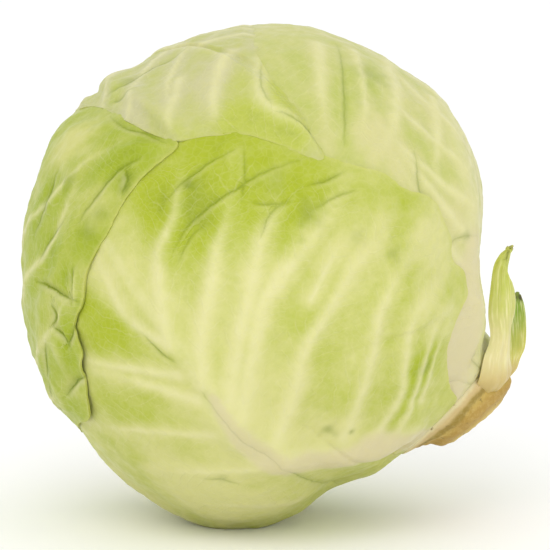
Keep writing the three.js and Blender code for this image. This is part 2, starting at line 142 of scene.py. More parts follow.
NECK_BLEND = (0.5, 7)  # degrees outside the stump's neck over which a leaf goes down to it
NECK_UNDER = 0.5  # of a leaf below the neck's height there
FLESH_EXTRA = 0.03  # of a skin over the solid leaf's thickness
FRILLED = 0.9  # of the way out, from where a margin is frilled
RAGGED = 0.75  # of the way out, from where a margin that the front doesn't show is ragged
RAGGED_CLEAR = (4, 12)  # degrees past the collar over which margins start to be uneven

LEAVES = {
    "leaf_back": dict(
        middle=(250, 165), detail=120, lift=0, wave=0.5, rib_height=5, rib_width=9, base_green=0.4,
        margin=[
            (-160, 74), (-120, 75), (-80, 76), (-40, 78), (-15, 84), (0, 88), (15, 84), (40, 78),
            (80, 76), (120, 74), (160, 75),
        ],
        rib=[(318, 108), (300, 124), (268, 150), (215, 165), (160, 140)],
        fan=(8, 0.1, 1.05, 1.1),
    ),
    "leaf_right": dict(
        middle=(45, 76), detail=170, lift=0, wave=0.6, rib_height=6, rib_width=13, base_green=0.25,
        margin=[
            (-160, 56), (-142, 58), (-129, 58), (-101, 54), (-77, 51), (-60, 55), (-50, 62),
            (-42, 72), (-34, 79), (-20, 82), (-8, 82), (8, 82), (30, 76), (60, 68), (90, 64), (120, 61),
            (150, 59), (174, 57),
        ],
        rib=[(331, 80), (343, 74), (356, 69), (12, 66), (30, 67), (45, 84), (50, 102)],
        fan=(8, 0.3, 0.95, 0.95),
    ),
    "leaf_front": dict(
        middle=(262, 22), detail=205, lift=0, wave=0.6, rib_height=4.2, rib_width=9, base_green=0.27,
        margin=[
            (9, 67), (13, 62.5), (19, 59.4), (26, 56.8), (32, 58), (36, 61), (39, 65.5), (44, 67),
            (50, 64), (56, 65), (61, 64), (67, 64), (76, 59), (84, 58), (94, 55), (109, 55), (121, 58),
            (140, 60), (160, 58), (176, 55), (-172, 53), (-143, 57), (-125, 64), (-112, 76), (-93, 88),
            (-58, 95), (-26, 88), (-8, 80),
        ],
        rib=[
            (313, 67), (303, 61), (294, 56), (283, 50), (270, 42), (256, 32), (232, 25), (196, 26),
            (167, 38),
        ],
        side_ribs=[
            [(246, 27), (227, 17), (145, 10), (106, 18), (99, 32)],
            [(256, 33), (258, 15), (76, 4), (71, 14), (77, 26)],
            [(266, 40), (273, 14), (351, 6), (35, 18), (47, 31)],
            [(280, 48), (300, 22), (343, 19), (13, 27), (27, 37)],
            [(297, 56), (308, 40), (336, 32), (358, 34), (15, 44)],
            [(226, 25), (163, 22), (142, 23), (122, 32)],
            [(262, 37), (240, 36), (226, 40), (209, 50)],
            [(278, 48), (262, 52), (242, 61), (230, 70)],
        ],
        fan=None,
    ),
    "leaf_left": dict(
        middle=(190, 118), detail=185, lift=1.7, wave=1.2, rib_height=4.5, rib_width=8, base_green=0.5,
        pressed=0.45, frill=0.35,
        margin=[
            (178, 76), (170, 84.5), (164, 91), (158, 97.5), (154, 100.5), (150, 97), (146, 92.5),
            (141, 88.5), (134, 83.4), (130, 79), (125, 75), (119, 73), (113, 69.3), (107, 70.5),
            (102, 67.8), (97, 67), (92, 65), (87, 62.5), (83, 56), (78, 50.5), (70, 44), (62, 40),
            (54, 39), (42, 42), (31, 46), (20, 57), (11, 76), (4, 104), (-5, 106), (-16, 86),
            (-40, 68), (-70, 62), (-100, 62), (-130, 64), (-155, 65),
        ],
        rib=[(286, 103), (262, 128), (228, 136), (200, 125), (178, 108), (165, 92)],
        fan=(9, 0.12, 1.0, 0.95),
    ),
    "leaf_top": dict(
        middle=(130, 112), detail=190, lift=0.5, wave=0.7, rib_height=4.5, rib_width=9, base_green=0.3,
        frill=0.3, sunk_margin=0.95,
        margin=[
            (-151, 35), (-147, 44), (-144.5, 55), (-142, 64), (-138.5, 72.5), (-134, 75.5), (-126, 82),
            (-119, 93), (-115, 98.5), (-112.5, 97), (-111, 86), (-110, 74), (-103, 62), (-84, 47),
            (-70, 44), (-58, 48), (-46, 60), (-34, 80), (-24, 100), (-14, 118), (-5, 134), (5, 134),
            (14, 118), (25, 100), (38, 84), (55, 70), (78, 58), (93, 46), (107, 33), (133, 21),
            (155, 18), (180, 18.5), (-163, 24), (-157, 30),
        ],
        rib=[(12, 106), (34, 124), (75, 133), (105, 120), (112, 98), (108, 78), (98, 60)],
        fan=(11, 0.05, 1.2, 2.4),
    ),
}
LEAF_DEFAULTS = dict(side_ribs=[], pressed=1.0, frill=0.25, sunk_margin=0.35)
STACK = list(LEAVES)

# Thick white parts of the leaf stalks, seen from the front: width at the foot, at the tip, line.
SEEN_WHITE = {
    "leaf_front": [
        (9.0, 2.0, [(62, -56), (46, -62), (30, -67), (14, -69), (2, -64), (-8, -54), (-14, -44)]),
    ],
    "leaf_right": [(14.0, 7.0, [(70, -42), (74, -26), (76, -10), (78, 2), (79, 10)])],
}

# Veins that the front shows: width at the foot, width at the tip, and the line as seen from
# the front, in millimetres right of and above the head's middle.
SEEN_VEINS = {
    "leaf_front": [
        (2.6, 1.4, [(-30, -25), (-34, 5), (-32, 13), (-28, 22), (-26, 35), (-25.5, 41)]),
        (2.8, 1.6, [(-18, -40), (-18, -19), (-14, -1.5), (-13, 9), (-10, 18), (-8, 27), (-7, 45)]),
        (3.0, 1.6, [(-8, -46), (-5, -23), (-0.5, -5), (1.5, 6), (4, 15), (7.5, 22), (9.5, 39)]),
        (3.0, 1.6, [
            (-4, -52), (1, -23), (4, -10), (9.5, -1.5), (16.5, 7), (23.5, 16), (29, 25), (32.5, 34),
        ]),
        (2.8, 1.5, [
            (8, -60), (15.5, -41), (17.5, -30), (22, -21), (29, -10), (34.5, 0.5), (41.5, 9), (47, 18),
            (49.5, 25),
        ]),
        (1.2, 0.7, [(21, -8.5), (27, 4), (32.5, 13)]),
        (2.4, 1.2, [
            (32, -58), (43, -28), (44.5, -19), (47, -10), (51.5, -1.5), (56.5, 7.5), (61, 16.5),
        ]),
        (2.2, 1.1, [(44, -58), (53, -42.5), (54, -33.5), (57.5, -15.5), (63, -7), (68, 0.5)]),
        (1.8, 0.9, [(52, -56), (57.5, -42.5), (63, -24.5), (66.5, -15.5), (70, -12)]),
        (1.6, 0.9, [(60, -44), (65.5, -26.5), (69, -19)]),
        (2.2, 1.2, [(-30, -24.5), (-44, -15.5), (-53, 0.5), (-58, 12)]),
        (1.8, 1.0, [(-26.5, -35.5), (-40.5, -33.5), (-58.5, -30), (-64, -26)]),
        (1.8, 0.9, [(-19.5, -44.5), (-37, -39), (-57, -32)]),
        (1.6, 0.9, [(-14, -57), (-40, -55), (-58.5, -53)]),
        (1.6, 0.8, [(2, -69), (-20, -70), (-37, -69)]),
        (1.6, 0.8, [(16.5, -80), (-4, -82), (-23, -80)]),
    ],
    "leaf_left": [
        (1.6, 0.8, [(-84, -8), (-74, 8), (-66, 26), (-60, 44)]),
        (1.5, 0.8, [(-83, 12), (-72, 28), (-58, 42), (-46, 48)]),
        (1.3, 0.7, [(-80, -32), (-74, -22), (-66, -8), (-60, 2)]),
        (1.2, 0.6, [(-78, -46), (-72, -44), (-65, -40)]),
    ],
    "leaf_top": [
        (2.0, 1.2, [(-26.5, 70), (-30, 57.5), (-29, 48.5)]),
        (2.4, 1.4, [(-8.5, 79), (-14, 66.5), (-14, 57.5), (-15, 51)]),
        (3.0, 1.4, [(3, 77), (3, 64.5), (9.5, 58.5), (18, 54), (23.5, 43)]),
        (1.6, 0.9, [(-44, 62), (-46, 54), (-50, 50)]),
    ],
    "leaf_right": [
        (2.4, 1.4, [(23, 82.5), (24.5, 66.5), (27, 47)]),
        (2.8, 1.6, [(47, 77), (51, 61), (49, 50), (44, 43)]),
        (2.2, 1.4, [(63, 63), (65.5, 45), (64.5, 31)]),
        (1.6, 1.0, [(36, 80), (40, 62), (38, 48)]),
    ],
}

# Folds seen from the front: depth, width and line. The leaf dips there, with painted shade over it and
# along a sharp crease. With a depth under 0 it rises instead, with a painted highlight.
SEEN_FOLDS = {
    "leaf_front": [
        (0.5, 1.0, [
            (-28.2, 9.3), (-24.3, 16.4), (-19.3, 21.8), (-13.6, 26.4), (-6.8, 30.7), (-1.4, 34.3),
            (3.9, 37.1), (16.4, 41.4),
        ]),
        (0.35, 0.8, [(-29.3, 28.9), (-25, 33.6), (-19.3, 37.8), (-13.6, 41.8), (-6.8, 45)]),
        (0.3, 0.9, [(-3.2, 45), (-2.9, 36.1), (-3.9, 27.1)]),
        (0.3, 0.9, [(-0.7, 26.4), (6.4, 25.7), (12.9, 26.1)]),
        (0.4, 1.0, [(20, 32.5), (26.4, 34.3), (32.5, 37.1)]),
        (0.25, 0.8, [(-26.4, 5), (-22.8, 12.9), (-17.8, 17.8)]),
        (0.3, 0.9, [(2.9, 14.3), (6.4, 22.1), (12.9, 27.8)]),
        (0.3, 0.8, [(22.8, 24.3), (30, 28.6), (36.4, 30.7)]),
        (0.7, 1.8, [(-17.1, -42.8), (-10, -52.8), (0, -62.1), (10, -68.9), (20, -73.2), (30, -75)]),
        (0.6, 0.7, [(-37.8, -22.1), (-35, -25.3), (-32.1, -28.2), (-28.6, -30.3)]),
        (-0.5, 1.5, [(-35.3, -23.9), (-32.5, -26.1), (-29.6, -28.6)]),
        (0.3, 1.0, [(-17.1, -72.5), (-11.4, -72.8), (-5.7, -74.3)]),
    ],
    "leaf_left": [
        (1.2, 0.9, [(-77.1, -2.1), (-73.5, -3.6), (-69.6, -5.9), (-63.5, -8.9)]),
        (-0.9, 2.4, [(-75, -8.6), (-70, -9.6), (-65, -11.8)]),
        (1.6, 1.5, [(-71.8, -10.7), (-71, -15), (-72.5, -17.8)]),
        (1.5, 1.1, [(-71.8, -18.2), (-68.9, -21.1), (-66.3, -24.8)]),
        (1.4, 1.0, [(-66.4, -25), (-65, -21.4), (-63.9, -17.8)]),
        (-1.0, 2.2, [(-72.8, -22.1), (-70.3, -26.4), (-68.5, -30.7)]),
        (1.0, 1.6, [(-74.3, -24.6), (-74.6, -30.7), (-73.5, -37.1)]),
        (1.3, 1.5, [(-66.8, -42.5), (-63.5, -38), (-59.3, -35.7)]),
        (-0.9, 2.0, [(-75.3, -32.5), (-72.1, -38.2), (-68.5, -44.3), (-66.4, -50)]),
        (-0.8, 1.6, [(-62.8, -26.4), (-61, -30.7), (-60.7, -34.3)]),
        (0.9, 1.4, [(-73.2, -40), (-71.4, -45), (-66.8, -50.7)]),
        (1.0, 0.8, [(-64.6, 2.1), (-64.6, -2.9), (-65, -8.6)]),
        (-1.6, 0.9, [(-63.2, 2.1), (-63.4, -2.9), (-63.9, -8.6)]),
        (0.9, 2.2, [(-77.8, 15.7), (-75, 24.3), (-72.8, 30.7), (-70, 37.1)]),
        (0.6, 1.2, [(-76.4, 5), (-72.1, 13.6), (-67.8, 19.3)]),
        (0.7, 1.2, [(-62.1, 20), (-55.7, 28.6), (-48.6, 37.8), (-40.7, 42.1)]),
        (0.5, 1.0, [(-50.7, 56.4), (-45, 52.8), (-37.1, 50.7), (-32.1, 47.8)]),
        (-0.6, 2.4, [(-68.5, 45), (-65.7, 36.1), (-62.8, 28.6)]),
        (0.8, 1.2, [(-45.7, 38.6), (-45, 34.3), (-46.4, 30)]),
        (-0.7, 1.8, [(-59.3, 13.6), (-56.4, 22.1), (-52.1, 28.6)]),
    ],
    "leaf_top": [
        (0.5, 1.1, [(-52.1, 65.7), (-47.1, 67.8), (-42.1, 70.7), (-35.7, 74.6), (-24.6, 80.7)]),
        (0.35, 0.9, [(-50.7, 61.8), (-47.1, 63.5), (-42.1, 67.1)]),
        (0.6, 0.8, [(9.3, 58.5), (17.1, 54.6), (22.5, 49.6), (25.7, 43.9)]),
        (-0.6, 1.8, [(5, 64.3), (10.4, 59.3), (17.8, 53.2), (23.6, 45)]),
        (0.3, 1.0, [(2.9, 77.1), (2.9, 68.2), (6.4, 61.4)]),
    ],
    "leaf_right": [
        (0.4, 1.2, [(57.8, 43.9), (60, 30), (66, 17.8)]),
        (0.35, 1.0, [(30, 82.1), (32.8, 62.1), (32.8, 47.8)]),
        (0.7, 1.0, [(70.7, -40), (73.5, -37.8), (77.1, -36.4)]),
        (-0.8, 2.6, [(72.1, -42.1), (75, -40.7), (77.8, -38.6)]),
        (0.6, 0.9, [(78.5, -34.3), (78.2, -30.7), (79.3, -27.8)]),
        (0.25, 0.9, [(68.5, 9.3), (72.8, 13.6), (80, 14.3)]),
    ],
}

# Greener (above 0) and paler (below 0) areas seen from the front: middle, radius and strength.
SEEN_GREEN = {
    "leaf_front": [
        (-24, 22, 15, 0.6), (-8, 34, 17, 0.5), (-36, 30, 12, 0.45), (12, 32, 14, 0.4),
        (30, 30, 12, 0.3), (38, 22, 12, -0.18), (52, 26, 8, 0.2), (-30, 8, 10, 0.2),
        (16, 12, 12, 0.12), (58, -36, 9, 0.6), (64, -28, 7, 0.35), (52, -50, 9, 0.45),
        (-48, -20, 10, 0.45), (-56, -12, 8, 0.25), (-44, -48, 12, 0.28), (-26, -56, 9, 0.12),
        (28, -16, 14, 0.12), (70, -4, 6, 0.2), (26, -46, 12, 0.12), (-46, 0, 14, -0.22),
        (-8, -58, 14, -0.2), (0, -84, 22, -0.3), (36, -60, 10, -0.3), (-50, -74, 20, -0.2),
        (-4, -4, 14, -0.16), (66, 8, 10, -0.15), (8, -34, 16, -0.2), (-20, -18, 12, -0.15),
        # The greener areas at (-58, -22) and (-62, -10) are partly leaf_front's own green and partly
        # painted shade beside leaf_left's margin.
        (14, -62, 14, -0.35), (-24, -74, 16, -0.3), (-58, -22, 8, 0.3), (-62, -10, 6, 0.35),
        (-52, -44, 9, 0.2), (26, -58, 10, -0.2), (-4, -48, 12, -0.25), (-36, -60, 10, -0.15),
        (40, -44, 8, 0.12), (-70, -50, 8, 0.3), (-12, -80, 14, -0.3), (62, -33, 5, 0.4),
        (64, 14, 10, -0.2), (-10, 50, 10, 0.4), (-24, 44, 9, 0.35),
    ],
    "leaf_left": [
        (-66, 34, 7, 0.2), (-72, 10, 7, 0.55), (-78, 22, 7, 0.4), (-74, -34, 12, 0.25),
        (-80, -4, 9, 0.2), (-50, 40, 9, 0.45), (-67, 47, 9, -0.6), (-58, 26, 10, -0.12),
        (-76, -14, 8, -0.12), (-60, 10, 6, 0.25), (-40, 46, 7, 0.4), (-66, -46, 8, 0.3),
        (-66, -1, 4, 0.6), (-66, -14, 7, 0.2), (-64, -30, 7, 0.2), (-73, 26, 9, 0.35),
        (-62, 50, 9, -0.3), (-54, 30, 9, -0.25), (-59, 14, 5, 0.3),
    ],
    "leaf_top": [
        (-28, 52, 8, 0.25), (-8, 56, 10, 0.5), (8, 56, 10, 0.5), (18, 50, 7, 0.4), (-44, 58, 7, -0.3),
        (6, 70, 12, 0.25), (-40, 72, 12, -0.1), (-14, 72, 12, -0.3), (26, 47, 4, 0.5),
        (-50, 64, 5, 0.4),
    ],
    "leaf_right": [
        (40, 70, 10, 0.4), (30, 60, 10, 0.3), (34, 44, 8, 0.2), (58, 50, 9, 0.25), (66, 38, 9, 0.25),
        (44, 50, 7, -0.4), (74, 18, 7, -0.3), (24, 74, 8, 0.1), (52, 66, 7, -0.2),
    ],
}

# Small deep green stains seen from the front: middle, radius and strength.
SEEN_STAINS = {
    "leaf_front": [
        (-23, 32.5, 2.6, 0.9), (20, 23, 4.5, 0.5), (-3, 57, 4, 0.5), (27, -55, 2.2, 0.6),
        (35, -55.5, 1.2, 0.8), (-10.5, -72, 2, 0.35), (50, 8, 2.2, 0.4), (38, 14, 3, 0.25),
        (-18, 20, 5, 0.25), (8, 34, 5, 0.3),
    ],
    "leaf_left": [
        (-45, 35.5, 2.4, 0.9), (-45.8, 31.5, 2.2, 0.9), (-65.5, 33.5, 3.4, 0.5), (-55, 22, 3, 0.4),
        (-59, 15.5, 3.4, 0.5),
    ],
    "leaf_top": [(30, 47, 3, 0.6), (-45, 70, 3, 0.4)],
    "leaf_right": [(77, 14.5, 1.6, 0.8), (42, 72, 5, 0.4)],
}

STALKS = {
    "torn_stalk_front": dict(
        left=[
            (76, -9, -44), (78.2, -17.5, -37), (80, -19.4, -28.5), (82.6, -17.8, -21.5),
            (82.4, -17.2, -13.5), (83.3, -15.5, -5), (85.1, -14, 5.5), (89.6, -12, 10.2),
        ],
        right=[
            (87, -2, -42), (90.6, -7.5, -34), (90.2, -8.5, -28), (90.5, -10, -19), (92.2, -11, -12),
            (92, -11.5, -5), (90.2, -11.8, 0.5), (90.4, -11.5, 10.4),
        ],
        bow=2.2, foot=5.5, tip=0.8, fold=(0.88, 0.8),
    ),
    "torn_stalk_rear": dict(
        left=[
            (87, 2.5, -40), (90.2, 3, -32.5), (89.4, 1.5, -27), (89.6, 1.5, -18), (90.6, 2, -9),
            (91.8, 3, -4.8),
        ],
        right=[
            (91, 8, -41), (94.8, 12, -31), (97.2, 11, -25.5), (97.5, 10, -17.5), (97, 9.5, -10.5),
            (96, 9, -7),
        ],
        bow=-1.8, foot=4.5, tip=1.0, fold=(0.95, 1.2),
    ),
}


CUT_MIDDLE = np.array([77.5, 3.0, -49.3])
CUT_BEARING = -50.0
CUT_RADIUS = 18.6
CUT_DOME = 4.4
CUT_RIM = -1.2  # height of the cut's edge
CUT_SCAR = 0.8  # height of the waves in the cut's edge
CUT_END = (0.28, 0.36)  # part of the way down the stump's skin at which the cut ends
CUT_RING = (0.3, 0.72, 0.07)  # groove round the pith: depth, and radius and width as parts of the cut's
STUMP_SCARS = (0.3, 2, 26)  # height, and waves round and along the stump in radians
STUMP_HIDDEN = (0.62, 0.7)  # part of the way down the skin, from where it is under the leaves
CORE = np.array([66.0, 2.0, -44.0])  # a point in the stump that its roughness points away from
STUMP_SIDES = 120
STUMP_ROWS = 90
ROOT_HEIGHT = 4.0  # over the heart, by which the stump's skin goes under the leaves

STALK_ROWS = 90
STALK_COLUMNS = 36
TORN_FROM = 0.8  # of a stalk's length, from where it is torn, and thin from there on
TORN_JAG = (1.1, 17, 41)  # length, and how fast its two waves go across
STALK_RIBS = (0.22, 22)  # height, and how fast their waves go across
STALK_WAVER = (0.5, 9)  # height, and how fast it goes along
FOLD_BULGE = (0.7, 0.035)  # height and width of the bulge where the tip is folded over
FLAP_DROP = 0.9  # of the folded tip
FLAP_EDGE = (-0.01, 0.02)  # past the fold, over which the flap starts
STALK_SIDE = 0.45  # of the thickness is left at a stalk's sides
SUNK_FOOT = (3.5, 0.17)  # how deep a stalk's foot is in the stump, and for what part of its length

# The picture's middle, right of and above the head's middle, as the photograph frames it.
PICTURE_MIDDLE = (7.5, 0.36)
SENSOR = 36.0
FILL_SHARE = 0.28  # of the key light's power

# The paper in metres: its size, and where and how tightly it bends up.
PAPER_SIZE, PAPER_CUTS, BEND_START, BEND_RADIUS = 6, 47, 1.4, 1.0

RIM_COLOUR = "#c0c070"  # of a leaf's thin margin
WHITE_COLOUR = "#cec49a"  # of a leaf's thick stalk
# How far red, green and blue light goes into leaf flesh and into stem, next to each other.
FLESH_REACH = (1.0, 0.9, 0.25)
STEM_REACH = (1.0, 0.7, 0.3)


# Shape of the head


def direction(bearing, reach):
    """Unit vectors of bearings and reaches, with x right, y away and z up in the front view."""
    turn, out = np.radians(bearing), np.radians(reach)
    return np.stack([np.sin(out) * np.cos(turn), -np.cos(out), np.sin(out) * np.sin(turn)], axis=-1)


def smoothstep(value, low, high):
    part = np.clip((value - low) / (high - low), 0, 1)
    return part * part * (3 - 2 * part)


def lerp(a, b, part):
    return a + (b - a) * part


def ring_curve(pairs):
    """A smooth closed curve of a value over an angle, through (angle, value) pairs."""
    knots = sorted(pairs)
    angles = np.array([angle for angle, value in knots], float)
    values = np.array([value for angle, value in knots], float)
    count = len(knots)

    def knot(index):
        lap = index // count
        return angles[index - lap * count] + 360 * lap, values[index - lap * count]

    def curve(angle):
        wound = np.mod(angle - angles[0], 360) + angles[0]
        index = np.searchsorted(angles, wound, side="right") - 1
        (a0, v0), (a1, v1), (a2, v2), (a3, v3) = (knot(index + step) for step in (-1, 0, 1, 2))
        span = a2 - a1
        part = (wound - a1) / span
        leave = (v2 - v0) / (a2 - a0) * span
        arrive = (v3 - v1) / (a3 - a1) * span
        return (
            v1 * (2 * part**3 - 3 * part**2 + 1)
            + leave * (part**3 - 2 * part**2 + part)
            + v2 * (3 * part**2 - 2 * part**3)
            + arrive * (part**3 - part**2)
        )

    return curve


STUMP_AXIS = direction(*STUMP)
outline_at = ring_curve(OUTLINE)


def angle_to(rays, ray):
    return np.degrees(np.arccos(np.clip(rays @ ray, -1, 1)))


def heart_radius(rays):
    bearing = np.degrees(np.arctan2(rays[..., 2], rays[..., 0]))
    head = lerp(HEAD_DEPTH, outline_at(bearing), 1 - rays[..., 1] ** 2)
    near_stump = np.exp(-((angle_to(rays, STUMP_AXIS) / NECK_DIP_SPREAD) ** 2))
    return head - WRAP - NECK_DIP * near_stump


def spline(points, count):
    """Evenly numbered points of a smooth curve through points, ends included."""
    points = np.array(points, float)
    padded = np.vstack([2 * points[0] - points[1], points, 2 * points[-1] - points[-2]])
    steps = np.linspace(0, len(points) - 1, count)
    index = np.minimum(steps.astype(int), len(points) - 2)
    part = (steps - index)[:, None]
    a, b, c, d = (padded[index + step] for step in range(4))
    return 0.5 * (
        2 * b + (c - a) * part + (2 * a - 5 * b + 4 * c - d) * part**2 + (3 * b - a - 3 * c + d) * part**3
    )


def unit(vectors):
    return vectors / np.linalg.norm(vectors, axis=-1, keepdims=True)


class Line:
    """A smooth line over the head, from its foot to its tip."""

    def __init__(self, rays, samples=LINE_SAMPLES):
        self.rays = unit(spline(rays, samples))

    def nearest(self, rays):
        """For each ray, millimetres to the line and how far along it the nearest place is."""
        chords = np.clip(2 - 2 * rays @ self.rays.T, 0, None)
        best = chords.argmin(axis=1)
        away = np.sqrt(chords[np.arange(len(rays)), best])
        last = len(self.rays) - 1
        low, high = np.maximum(best - 1, 0), np.minimum(best + 1, last)
        start, end = self.rays[low], self.rays[high]
        along = end - start
        share = np.clip(((rays - start) * along).sum(1) / (along**2).sum(1), 0, 1)
        away = np.minimum(away, np.linalg.norm(rays - (start + along * share[:, None]), axis=1))
        return np.degrees(away) * ARC, (low + share * (high - low)) / last

    def side(self, rays):
        """1 for each ray on the left of the line, seen from outside, and -1 on its right."""
        best = (rays @ self.rays.T).argmax(axis=1)
        left = np.cross(self.rays, np.gradient(self.rays, axis=0))[best]
        return np.sign(((rays - self.rays[best]) * left).sum(1))


class Rib(Line):
    def __init__(self, rays, height, width):
        super().__init__(rays, RIB_SAMPLES)
        self.height, self.width = height, width

    def rise(self, rays):
        away, along = self.nearest(rays)
        width = self.width * lerp(*RIB_WIDTHS, along)
        return self.height * lerp(1, RIB_TIP, along) * np.exp(-((away / width) ** 2))


class Leaf:
    """One wrapper leaf, with places on it as turns and reaches about its middle."""

    def __init__(self, name):
        self.name = name
        self.__dict__.update({**LEAF_DEFAULTS, **LEAVES[name]})
        self.centre = direction(*self.middle)
        self.toward = unit(STUMP_AXIS - self.centre * (STUMP_AXIS @ self.centre))
        self.side = np.cross(self.centre, self.toward)
        self.margin_at = ring_curve(self.margin)
        self.main_rib = Rib([direction(*place) for place in self.rib], self.rib_height, self.rib_width)
        self.side_lines = [
            Rib([direction(*place) for place in places], *SIDE_RIB) for places in self.side_ribs
        ]
        turns = np.linspace(0, 360, TURN_SAMPLES)
        rim = self.at(turns, self.edge(turns, SKIN_COLLAR))
        steps = np.linalg.norm(np.diff(rim, axis=0), axis=1) + LEAST_STEP
        lengths = np.concatenate([[0], np.cumsum(steps)])
        self.turn_at = lambda part: np.interp(part, lengths / lengths[-1], turns)

    def at(self, turn, reach):
        turn, out = np.radians(turn)[..., None], np.radians(reach)[..., None]
        flat = self.toward * np.cos(turn) + self.side * np.sin(turn)
        return self.centre * np.cos(out) + flat * np.sin(out)

    def locate(self, rays):
        turn = np.degrees(np.arctan2(rays @ self.side, rays @ self.toward))
        return turn, angle_to(rays, self.centre)

    def edge(self, turn, collar=COLLAR):
        """The margin's reach, cut off by the round collar that is left free for the stump."""
        apart = math.acos(self.centre @ STUMP_AXIS)
        along, across = math.cos(apart), math.sin(apart) * np.cos(np.radians(turn))
        margin = self.margin_at(turn)
        limit = math.cos(math.radians(collar)) / np.hypot(along, across)
        cut = np.degrees(np.arctan2(across, along) - np.arccos(np.minimum(limit, 1)))
        return np.where((limit > 1) | (across < 0), margin, np.minimum(margin, cut))

    def inset(self, rays):
        """Millimetres inside the margin, less than 0 outside it."""
        turn, reach = self.locate(rays)
        slope = (self.edge(turn + 1) - self.edge(turn - 1)) / math.radians(2)
        edge = self.edge(turn)
        flare = slope / np.degrees(np.sin(np.radians(edge)))
        return (edge - reach) * ARC / np.hypot(1, flare)

    def thickness(self, rays):
        body = smoothstep(self.inset(rays), 0, BLADE_TAPER)
        ribs = self.main_rib.rise(rays) + sum(rib.rise(rays) for rib in self.side_lines)
        return lerp(MARGIN_THICKNESS, BLADE_THICKNESS, body) + ribs

    def room(self, rays):
        """The room under the leaf: its waves all over and the curl of its margin."""
        turn, reach = self.locate(rays)
        around = np.radians(turn)
        calm = np.minimum(1, reach / CALM_MIDDLE)
        short, long = WAVE_REACHES
        waves = calm * np.sin(reach / short + 2 * around) * np.sin(reach / long + 3 * around)
        mean, swing, number = CURLS
        curl = (1 - smoothstep(self.inset(rays), 0, CURL_WIDTH)) * (mean + swing * np.sin(number * around))
        return self.wave * (1 + waves) / 2 + self.lift * curl

    def cover(self, rays):
        return smoothstep(self.inset(rays), -COVER_RAMP, 0)


LEAF_SHAPES = {name: Leaf(name) for name in STACK}


def stack_height(rays, level):
    """The height over the heart of the room that the leaves below a level fill."""
    height = np.full(len(rays), GAP)
    for name in STACK[:level]:
        leaf = LEAF_SHAPES[name]
        height += leaf.cover(rays) * (leaf.room(rays) + leaf.thickness(rays) + GAP)
    return height


def skin_heights(rays):
    """The height of each leaf's outside over the heart. Margins lie down on what is under them."""
    loose = np.full(len(rays), GAP)
    top = np.zeros(len(rays))
    clear = smoothstep(angle_to(rays, STUMP_AXIS), *(COLLAR + degrees for degrees in PRESSED_CLEAR))
    # Leaves that aren't pressed flat stand off at the front, below and at mid-height.
    open_side = smoothstep(-rays[:, 1], 0.15, 0.5) * smoothstep(-rays[:, 2], -0.15, 0.3)
    heights = []
    for name in STACK:
        leaf = LEAF_SHAPES[name]
        inset, thickness = leaf.inset(rays), leaf.thickness(rays)
        lying = clear * np.exp(-((np.maximum(inset, 0) / PRESSED_REACH) ** 2))
        lying *= 1 - (1 - leaf.pressed) * open_side
        free = loose + leaf.room(rays) + thickness
        height = lerp(free, np.minimum(free, top + PRESSED_GAP + thickness), lying)
        height -= leaf.sunk_margin * lying * (1 - smoothstep(inset, 0, SUNK_STRIP))
        heights.append(height)
        top = np.maximum(top, lerp(top, height, smoothstep(inset, -MARGIN_STEP, 0)))
        loose = loose + leaf.cover(rays) * (leaf.room(rays) + thickness + GAP)
    return heights


def seen(spots, level):
    """Directions of the places on a leaf that the front view shows at x and z millimetres."""
    spots = np.array(spots, float)
    eye = np.array([0.0, -SEEN_DISTANCE, 0.0])
    sight = np.stack([spots[:, 0], np.zeros(len(spots)), spots[:, 1]], axis=-1) - eye
    radius = np.full(len(spots), SEEN_RADIUS)
    for _ in range(SIGHT_ROUNDS):
        a, b, c = (sight**2).sum(1), 2 * sight @ eye, eye @ eye - radius**2
        root = np.sqrt(np.maximum(0, b * b - 4 * a * c))
        rays = unit(eye + sight * ((-b - root) / (2 * a))[:, None])
        radius = heart_radius(rays) + skin_heights(rays)[level]
    return rays


def settle(points):
    """Points about the head's middle, as the front view has them, placed in the row's frame."""
    tilt = math.radians(FRONT_VIEW_TILT)
    x, y, z = points[..., 0], points[..., 1], points[..., 2]
    away = y * math.cos(tilt) + z * math.sin(tilt)
    up = z * math.cos(tilt) - y * math.sin(tilt)
    return np.stack([x - FLAT_SPOT[0], away - FLAT_SPOT[1], up + REST_HEIGHT], axis=-1)


def placed(rays, height):
    """Points of a skin. Near the floor they go no lower than the leaves over them have room."""
    points = settle(rays * (heart_radius(rays) + height)[:, None])
    under = np.maximum(0, stack_height(rays, len(STACK)) - GAP - height)
    up = points[:, 2]
    points[:, 2] = np.where(up < FLATTENED, np.maximum(up, under), up)
    return points


def ripple(rays, size, seed):
    """Smooth unevenness from -1 to 1, with bumps about size millimetres apart."""
    draw = np.random.default_rng(seed)
    total = np.zeros(len(rays))
    for _ in range(RIPPLES):
        wave = unit(draw.normal(size=3)) * math.tau * SEEN_RADIUS / size * draw.uniform(0.75, 1.3)
        total += np.sin(rays @ wave + draw.uniform(0, math.tau))
    return total / RIPPLES * RIPPLE_GAIN


def bumps(rays, layers, level=0):
    """The sum of layers of ripples, which differ from leaf to leaf where its level is given."""
    return sum(height * ripple(rays, size, seed + level) for height, size, seed in layers)


# Mesh helpers


def start_fresh():
    """Deselects everything, so that an operator acts only on what is added next."""
    if bpy.context.object and bpy.context.object.mode != "OBJECT":
        bpy.ops.object.mode_set(mode="OBJECT")
    bpy.ops.object.select_all(action="DESELECT")


def name_piece(name):
    piece = bpy.context.object
    piece.name = name
    piece.data.name = name
    return piece


def move_points(piece, points):
    piece.data.vertices.foreach_set("co", np.asarray(points, np.float32).ravel() * MM)
    piece.data.update()


def set_attribute(piece, name, values):
    layer = piece.data.attributes.new(name, "FLOAT", "POINT")
    layer.data.foreach_set("value", np.asarray(values, np.float32))


def local_points(piece):
    flat = np.empty(len(piece.data.vertices) * 3, np.float32)
    piece.data.vertices.foreach_get("co", flat)
    return flat.reshape(-1, 3).astype(float)


